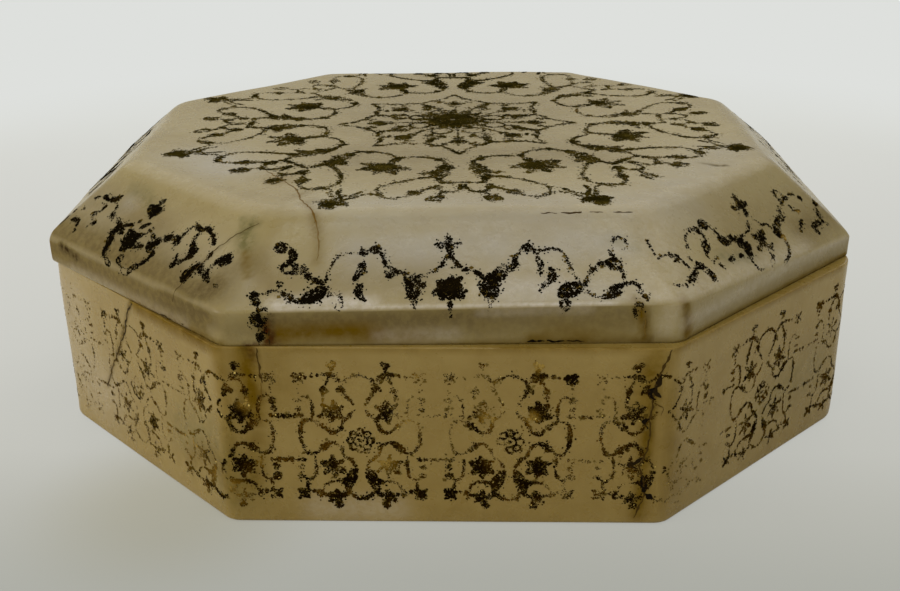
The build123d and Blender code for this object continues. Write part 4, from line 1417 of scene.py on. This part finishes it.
# The friezes on the sloping facets
# One run of palmettes, tulips and arched stems on each facet, in the same grains but bolder and rougher.
# The ends curl into scrolls where a facet is long enough, and the finials are small crosses.
frieze_front = (
    bud(-0.3, 4.2, 1.7)
    + fan(
        -0.3, 4.2, 1.6, (-2.8, -0.6), (-2.1, 1.5), (0.2, 2.4), (1.8, 2.2), (2.5, -0.3),
        (2.0, -1.6), (-1.7, -1.8),
    )
    + leaf(0.7, (-0.3, 2.2), (-0.3, 0.2)) + vine(0.6, (-1.8, 7.8), (-1.0, 9.2), (-0.4, 10.2))
    + vine(0.6, (1.2, 7.8), (0.3, 9.0), (-0.4, 10.2))
    + fan(-0.4, 11.6, 1.3, (-2.3, 0.2), (1.9, 0.5), (-0.2, 2.3), (0.0, -1.5)) + bud(-0.4, 11.6, 0.9)
    + vine(0.7, (-1.6, 8.0), (-3.3, 7.0), (-5.0, 6.4))
    + vine(0.7, (1.3, 7.4), (2.6, 7.5), (3.8, 6.8), (4.8, 5.8))
    + leaf(2.3, (-5.6, 7.0), (-5.8, 4.4), (-5.5, 1.0)) + leaf(1.1, (-5.2, 3.4), (-4.0, 5.6))
    + leaf(0.9, (-5.8, 4.0), (-7.2, 6.4)) + leaf(2.3, (5.4, 6.8), (5.6, 4.2), (5.3, 0.8))
    + leaf(1.1, (5.2, 3.2), (3.8, 5.0)) + leaf(0.9, (5.6, 4.2), (6.8, 6.2))
    + vine(0.7, (-6.4, 6.8), (-8.0, 7.2), (-9.6, 8.2)) + leaf(1.3, (-8.6, 6.4), (-10.2, 7.4))
    + vine(0.5, (-9.8, 8.0), (-10.3, 9.7), (-10.8, 10.6)) + leaf(1.5, (-10.6, 11.2), (-12.8, 11.0))
    + leaf(1.4, (-12.6, 10.6), (-14.6, 10.4))
    + vine(0.5, (-14.4, 10.5), (-16.4, 10.5), (-17.5, 9.4), (-18.3, 7.6), (-18.8, 5.6))
    + leaf(1.3, (-13.2, 9.4), (-13.6, 7.6), (-14.8, 5.8))
    + leaf(1.2, (-13.2, 5.4), (-14.0, 4.0), (-12.8, 2.4)) + leaf(2.0, (6.0, 5.2), (7.2, 7.0), (8.0, 8.4))
    + leaf(1.5, (8.2, 7.0), (9.7, 9.0)) + vine(0.6, (9.0, 8.6), (9.8, 10.2), (10.8, 11.5))
    + leaf(1.5, (10.4, 11.5), (12.4, 10.9)) + leaf(1.4, (12.0, 10.2), (13.4, 10.9))
    + vine(0.5, (13.2, 10.6), (14.8, 11.0), (16.5, 10.2), (17.5, 8.0), (18.3, 5.6))
    + leaf(1.0, (12.6, 9.8), (13.2, 8.0), (13.0, 6.2)) + leaf(1.3, (14.4, 7.8), (14.6, 6.0), (12.6, 3.6))
)
scroll_left = (
    leaf(1.7, (-29.2, 0.9), (-28.4, -0.6)) + leaf(1.5, (-27.7, 0.0), (-28.3, -1.7))
    + leaf(1.2, (-28.9, -1.2), (-27.9, -2.4)) + bud(-27.6, -2.2, 0.4)
    + leaf(2.2, (-22.3, 2.4), (-20.4, 3.4), (-18.2, 5.0))
    + leaf(1.2, (-19.0, 3.8), (-16.8, 3.6), (-16.2, 2.8)) + loop(-16.6, 1.7, 0.6, 0.5)
    + vine(0.8, (-19.0, 5.4), (-21.0, 6.4), (-22.0, 7.4)) + leaf(1.6, (-21.4, 6.6), (-22.6, 8.6))
    + leaf(1.8, (-23.8, 8.6), (-22.0, 7.4)) + vine(0.6, (-22.8, 7.4), (-25.0, 7.4), (-25.4, 8.8))
    + leaf(1.5, (-25.3, 8.4), (-23.8, 9.8), (-24.6, 12.0)) + leaf(1.8, (-24.8, 12.2), (-26.8, 11.0))
    + vine(0.8, (-19.6, 3.4), (-22.0, 2.5), (-24.0, 3.0)) + leaf(1.4, (-23.4, 2.6), (-25.0, 3.8))
    + vine(0.6, (-24.6, 3.6), (-26.3, 4.5), (-28.0, 3.9))
    + leaf(1.8, (-29.4, 4.2), (-28.8, 2.8), (-28.6, 1.4)) + loop(-27.8, 0.7, 0.7, 0.5)
    + bud(-25.5, 5.5, 0.55)
)
scroll_right = (
    leaf(2.4, (15.4, 2.6), (17.2, 3.8), (19.8, 4.6)) + loop(16.3, 1.5, 0.6, 0.5)
    + vine(0.8, (19.5, 3.6), (21.5, 2.6), (23.4, 3.0)) + leaf(1.7, (22.6, 2.4), (23.8, 3.6), (25.2, 4.8))
    + vine(0.6, (25.0, 4.5), (26.5, 4.8), (27.6, 4.0)) + leaf(1.0, (27.2, 4.4), (28.5, 2.0))
    + loop(27.1, 0.9, 0.6, 0.45) + vine(0.7, (19.4, 4.8), (20.4, 6.8), (21.4, 7.8))
    + leaf(1.3, (20.8, 7.0), (22.4, 8.6)) + leaf(2.0, (22.6, 8.6), (24.4, 8.0), (25.4, 6.4))
    + vine(0.5, (25.2, 6.4), (25.3, 4.8)) + beads((24.0, 9.0), (23.6, 10.5), (24.0, 12.0), radius=0.4)
    + vine(0.6, (24.0, 12.2), (25.0, 12.9), (26.0, 12.2), (26.3, 11.0), (25.3, 10.6))
)
frieze_left = (
    fan(-24.4, 4.4, 0.6, (-1.6, 1.4), (-1.8, -0.4), (-0.6, -2.0), (1.3, -0.4), (0.6, 1.4))
    + vine(1.0, (-10.4, 6.9), (-9.6, 6.0), (-9.2, 4.0), (-8.4, 2.0), (-7.0, 0.6), (-5.2, -0.1))
    + vine(0.9, (-2.8, 0.4), (-0.8, -0.1), (0.9, 0.7), (2.2, 1.8), (2.8, 3.4), (3.0, 4.8))
    + vine(1.1, (0.9, 5.2), (2.2, 6.4), (3.6, 7.7), (5.4, 8.2), (6.8, 8.0))
    + vine(0.7, (6.6, 8.6), (6.8, 10.2), (7.6, 11.5), (9.4, 11.1), (11.0, 11.6), (12.6, 11.1), (14.4, 9.9))
    + vine(0.8, (9.5, 10.6), (10.2, 8.6), (11.3, 7.2), (11.0, 5.8), (9.8, 4.9))
    + vine(1.0, (13.8, 2.8), (13.9, 4.6), (15.0, 5.6), (16.6, 5.0), (17.4, 6.2), (18.0, 7.8), (19.6, 8.4))
    + leaf(0.9, (-21.2, 9.1), (-19.6, 9.9)) + leaf(1.0, (-19.0, 10.5), (-16.8, 9.6))
    + leaf(1.4, (-17.2, 9.9), (-15.4, 10.5), (-14.5, 11.7)) + vine(0.6, (-16.3, 9.0), (-16.9, 7.6))
    + leaf(1.5, (-16.8, 7.6), (-18.4, 6.3), (-17.2, 5.6))
    + leaf(1.3, (-15.8, 5.6), (-17.0, 4.6), (-17.4, 3.8))
    + beads((-24.6, 4.2), (-22.9, 4.1), (-21.3, 4.4), radius=0.5)
    + vine(0.7, (-20.7, 4.6), (-20.3, 3.2), (-19.7, 2.2)) + bud(-24.5, 6.9, 0.4) + bud(-23.6, 6.0, 0.45)
    + bud(-21.8, 6.9, 0.4) + vine(0.4, (-13.9, 9.8), (-13.6, 8.6)) + leaf(1.1, (-13.8, 8.4), (-12.2, 6.7))
    + leaf(1.5, (-11.8, 7.5), (-10.0, 6.9), (-9.0, 5.6)) + leaf(1.5, (-10.0, 6.4), (-8.6, 5.8), (-7.2, 5.2))
    + leaf(1.9, (-9.9, 6.4), (-9.4, 4.2), (-8.7, 2.0))
    + vine(1.0, (-8.9, 2.4), (-8.0, 1.0), (-6.9, 0.4), (-5.8, -0.1))
    + leaf(0.8, (-9.0, 6.4), (-7.4, 7.2), (-6.0, 7.5)) + leaf(2.0, (-6.6, 6.5), (-4.2, 5.7), (-1.5, 7.1))
    + leaf(1.7, (-7.0, 4.5), (-4.0, 4.3), (-0.1, 4.8)) + leaf(2.0, (-5.2, 4.0), (-3.8, 2.8))
    + bud(-4.0, 5.0, 1.3) + bud(-3.4, 1.4, 0.8) + leaf(1.0, (-4.2, 1.2), (-2.0, 0.3)) + bud(-5.4, 8.5, 0.4)
    + leaf(0.8, (-4.3, 7.4), (-2.6, 9.0)) + vine(0.7, (-4.0, 10.8), (-3.8, 9.6))
    + leaf(2.1, (-6.2, 11.7), (-4.0, 11.2), (-1.8, 12.0)) + leaf(1.4, (-4.2, 12.2), (-3.7, 13.9))
    + bud(-3.9, 11.3, 0.9) + vine(0.8, (-2.0, 7.8), (-0.4, 7.5), (0.9, 6.5))
    + leaf(1.7, (0.0, 5.8), (1.8, 5.1), (3.3, 4.7)) + leaf(1.9, (1.6, 5.2), (2.5, 7.0), (4.2, 8.0))
    + leaf(1.7, (3.2, 7.7), (5.0, 8.2), (6.4, 8.6)) + leaf(1.8, (5.6, 7.2), (7.3, 8.0))
    + vine(0.8, (6.6, 9.0), (6.9, 10.3), (7.6, 11.2)) + leaf(1.2, (7.2, 11.9), (8.8, 11.2), (9.9, 10.9))
    + leaf(1.1, (9.8, 10.9), (11.0, 11.7), (12.2, 11.2)) + leaf(1.0, (12.8, 11.2), (14.9, 9.6))
    + vine(0.9, (9.3, 10.2), (9.9, 8.6), (10.6, 7.6)) + leaf(2.1, (10.8, 8.4), (11.8, 6.0))
    + leaf(1.2, (11.2, 5.8), (9.6, 4.7), (8.5, 6.0)) + leaf(1.2, (9.4, 4.9), (9.1, 3.3))
    + vine(1.0, (3.3, 4.8), (2.7, 3.2), (2.2, 1.9)) + leaf(1.3, (2.2, 1.4), (0.2, 0.9))
    + leaf(1.0, (1.2, 0.8), (0.0, 0.0)) + leaf(2.0, (13.9, 2.0), (13.6, 3.6), (14.2, 5.4))
    + leaf(1.2, (14.0, 5.0), (15.4, 6.4)) + leaf(0.9, (15.4, 8.6), (15.3, 6.8))
    + leaf(1.4, (15.0, 5.6), (17.0, 4.8), (17.6, 6.4)) + leaf(1.2, (16.6, 4.9), (19.4, 3.8))
    + vine(0.9, (17.4, 6.0), (18.0, 7.6)) + leaf(2.1, (17.6, 7.8), (20.6, 8.2))
    + leaf(1.3, (18.4, 8.4), (20.2, 9.2)) + bud(21.3, 3.8, 0.5) + bud(20.6, 3.9, 0.3)
)
frieze_right = (
    beads((-22.2, 12.7), (-22.6, 11.5), (-23.0, 10.2), radius=0.22, gap=0.7)
    + leaf(1.0, (-24.9, 7.9), (-24.0, 9.2), (-23.0, 9.3))
    + beads((-23.0, 9.4), (-21.8, 9.2), radius=0.26, gap=0.6)
    + leaf(1.2, (-21.8, 9.2), (-20.4, 8.8), (-19.3, 8.5))
    + beads((-19.6, 8.3), (-19.5, 7.0), (-19.3, 5.8), radius=0.34, gap=0.6)
    + leaf(0.9, (-19.9, 7.8), (-21.2, 7.7))
    + beads((-24.9, 7.8), (-25.7, 6.6), (-25.2, 5.0), (-24.0, 4.1), (-22.6, 3.6), radius=0.3, gap=0.7)
    + bud(-22.6, 3.6, 0.28) + leaf(1.3, (-21.8, 3.7), (-19.8, 4.2), (-17.8, 5.3))
    + leaf(1.5, (-18.2, 5.3), (-16.4, 5.3), (-15.4, 4.2))
    + leaf(1.6, (-15.6, 4.6), (-15.8, 3.2), (-16.6, 2.2)) + bud(-17.5, 6.9, 0.28) + bud(-16.8, 6.2, 0.3)
    + leaf(0.9, (-16.5, 8.6), (-15.6, 9.4))
    + beads((-15.3, 10.1), (-14.6, 10.9), (-13.0, 11.3), radius=0.25, gap=0.7)
    + leaf(1.9, (-12.6, 11.4), (-10.2, 11.0)) + leaf(1.3, (-11.6, 10.4), (-10.4, 10.9))
    + leaf(2.0, (-10.4, 11.2), (-7.6, 11.7)) + vine(0.5, (-8.0, 11.0), (-7.7, 9.8), (-7.4, 8.8))
    + leaf(2.0, (-8.2, 8.6), (-7.2, 7.4), (-6.0, 7.0)) + vine(0.5, (-10.6, 10.3), (-11.0, 9.0))
    + leaf(1.1, (-10.9, 9.0), (-12.0, 8.2)) + leaf(1.8, (-11.6, 8.5), (-13.2, 6.9))
    + vine(0.7, (-13.2, 7.0), (-13.5, 5.9), (-12.8, 5.2)) + leaf(0.9, (-13.0, 5.3), (-11.4, 5.7))
    + leaf(1.0, (-12.4, 4.6), (-11.8, 3.3)) + leaf(1.4, (-5.9, 8.0), (-3.4, 6.5))
    + leaf(1.5, (-5.0, 5.6), (-3.0, 6.9)) + leaf(1.7, (-2.2, 5.7), (-4.6, 4.4))
    + leaf(1.5, (-3.4, 4.8), (-4.7, 2.9))
    + beads((-4.7, 2.6), (-4.5, 1.2), (-3.2, 0.7), radius=0.32, gap=0.6)
    + vine(0.5, (-3.4, 6.8), (-1.6, 7.4), (0.4, 7.5)) + leaf(1.0, (-9.8, 4.2), (-7.6, 4.5))
    + leaf(1.0, (-7.0, 4.1), (-5.4, 4.4)) + leaf(1.3, (-1.2, 3.8), (0.6, 4.6))
    + leaf(1.3, (-0.2, 6.7), (1.0, 5.4)) + leaf(1.5, (0.8, 5.0), (2.4, 6.0), (3.7, 6.9))
    + leaf(1.4, (0.8, 4.0), (2.2, 3.6), (3.3, 3.9)) + bud(1.0, 4.8, 0.8) + leaf(1.2, (1.2, 3.6), (1.0, 1.6))
    + leaf(1.1, (1.0, 1.8), (-1.0, 0.4)) + leaf(0.8, (2.6, 5.0), (1.6, 6.6))
    + leaf(0.9, (0.5, 7.8), (1.6, 9.2)) + beads((3.9, 8.2), (3.2, 9.2), radius=0.24, gap=0.55)
    + leaf(1.1, (2.2, 9.8), (3.3, 11.4)) + leaf(1.2, (0.3, 12.3), (2.8, 11.7))
    + leaf(1.3, (2.8, 11.9), (4.9, 12.3)) + leaf(1.3, (2.6, 11.8), (3.3, 14.5)) + bud(2.8, 12.0, 0.7)
    + vine(0.6, (3.7, 7.6), (5.4, 7.4), (6.2, 6.4)) + leaf(1.6, (5.6, 5.6), (7.6, 4.0))
    + leaf(1.8, (6.2, 4.8), (7.6, 6.4), (9.2, 7.5)) + leaf(1.4, (8.4, 7.4), (11.8, 7.3))
    + leaf(1.2, (10.8, 7.8), (12.0, 9.2), (13.8, 10.0)) + loop(14.1, 11.1, 0.95, 0.9)
    + leaf(1.2, (14.6, 10.4), (16.2, 10.0)) + beads((16.6, 10.7), (18.2, 10.4), radius=0.26, gap=0.6)
    + leaf(1.0, (18.7, 9.9), (19.4, 8.8))
    + beads((7.0, 3.6), (6.2, 2.0), (5.0, 0.9), (3.4, 0.3), radius=0.34, gap=0.6)
    + vine(0.5, (14.8, 9.2), (14.9, 7.4)) + leaf(1.2, (15.3, 5.8), (13.6, 4.6), (12.6, 3.6))
    + leaf(1.3, (16.2, 3.5), (18.8, 4.0), (21.0, 3.9)) + leaf(1.2, (20.2, 4.0), (21.4, 6.6))
    + bud(22.2, 7.4, 0.75) + leaf(0.9, (20.4, 3.8), (21.6, 3.0)) + bud(16.8, 2.5, 0.65)
    + leaf(0.8, (15.2, 7.6), (16.6, 7.2))
)


frieze_field = 18.0


def lowered(strokes, drop):
    """A drawing let down at its foot and not at its head, to fill a facet whose edge stands high."""
    return [[(x, y - drop * (1 - y / frieze_field), w) for x, y, w in stroke] for stroke in strokes]


friezes = {
    "front": lowered(frieze_front + scroll_left + scroll_right, 0.45),
    "front_right": frieze_right,
    "right": flipped(frieze_front) + moved(scroll_right, -0.2, 0),
    "back_right": frieze_left,
    "back": flipped(frieze_front + scroll_left + scroll_right),
    "back_left": flipped(frieze_right),
    "left": frieze_front + moved(scroll_left, 0.6, 0),
    "front_left": frieze_left,
}
facet_worn = {
    "front": [(-16, 9, 3, 0.35), (17, 8, 3, 0.3), (25, 11, 2.5, 0.4), (13.5, 9, 1.5, 0.4)],
    "front_right": [
        (11, 4, 3, 0.4), (-16, 10, 3, 0.4), (14, 8, 3, 0.35), (1, 2, 3, 0.3), (-24, 7, 4, 0.35),
    ],
    "front_left": [(-22, 4, 4, 0.4), (-12, 7, 2, 0.3), (10, 10, 2, 0.3)],
    "right": [(0, 6, 60, 0.8)],
}
facet_inky = {
    "front": [
        (0, 5, 60, 0.1), (-20, 3.5, 4, 0.6), (-6, 4, 3, 0.5), (6, 4, 3, 0.6), (17, 3.5, 3, 0.8),
        (-29, 3, 2, 0.5), (0, 4.5, 3, 0.4), (23, 8, 2, 0.4),
    ],
    "front_right": [
        (0, 5, 60, 0.1), (-9, 11.5, 2, 0.7), (-18, 5, 4, 0.4), (-4, 5, 3, 0.7), (7, 5, 3, 0.6),
        (2.5, 12, 2, 0.3),
    ],
    "front_left": [
        (0, 5, 60, 0.1), (-4, 5, 4, 0.7), (-4, 11.5, 3, 0.6), (3, 6, 3, 0.6), (14, 4, 3, 0.6),
        (-9.4, 5, 3, 0.4), (19.5, 8.5, 2, 0.6),
    ],
}
facet_weights = {"front": 0.9, "front_right": 0.82, "front_left": 0.86}
facet_lumps = {"front_right": 0.55}
facet_gilded = {"front_right": [(7.2, 4.0, 0.9, 1.0), (15.7, 6.7, 1.1, 1.0)]}
frieze_top, frieze_overhang = 17.0, 1.2
taper = slope_run * (sqrt(2) - 1) / hypot(slope_run, slope_rise)
for k, side in enumerate(side_names):
    low, high = octagon(0)[k], octagon(0)[(k + 1) % 8]
    half_low = hypot(high[0] - low[0], high[1] - low[1]) / 2
    lay(
        "facet_" + side, facets[side], friezes[side], "lid",
        lambda x, y: abs(x) < half_low - taper * y + frieze_overhang and y < frieze_top,
        facet_grains, 51 + k,
        worn=facet_worn.get(side, [(-10, 8, 3, 0.4), (12, 6, 3, 0.4)]),
        gilded=facet_gilded.get(side, []), inky=facet_inky.get(side, [(0, 5, 60, 0.25)]),
        dense=38.0, size=0.17, weight=facet_weights.get(side, 0.9), warm=0.1, traces=0.6,
        dust=0.2, lump=facet_lumps.get(side, 0.8), solid=0.66, stray=0.04,
    )
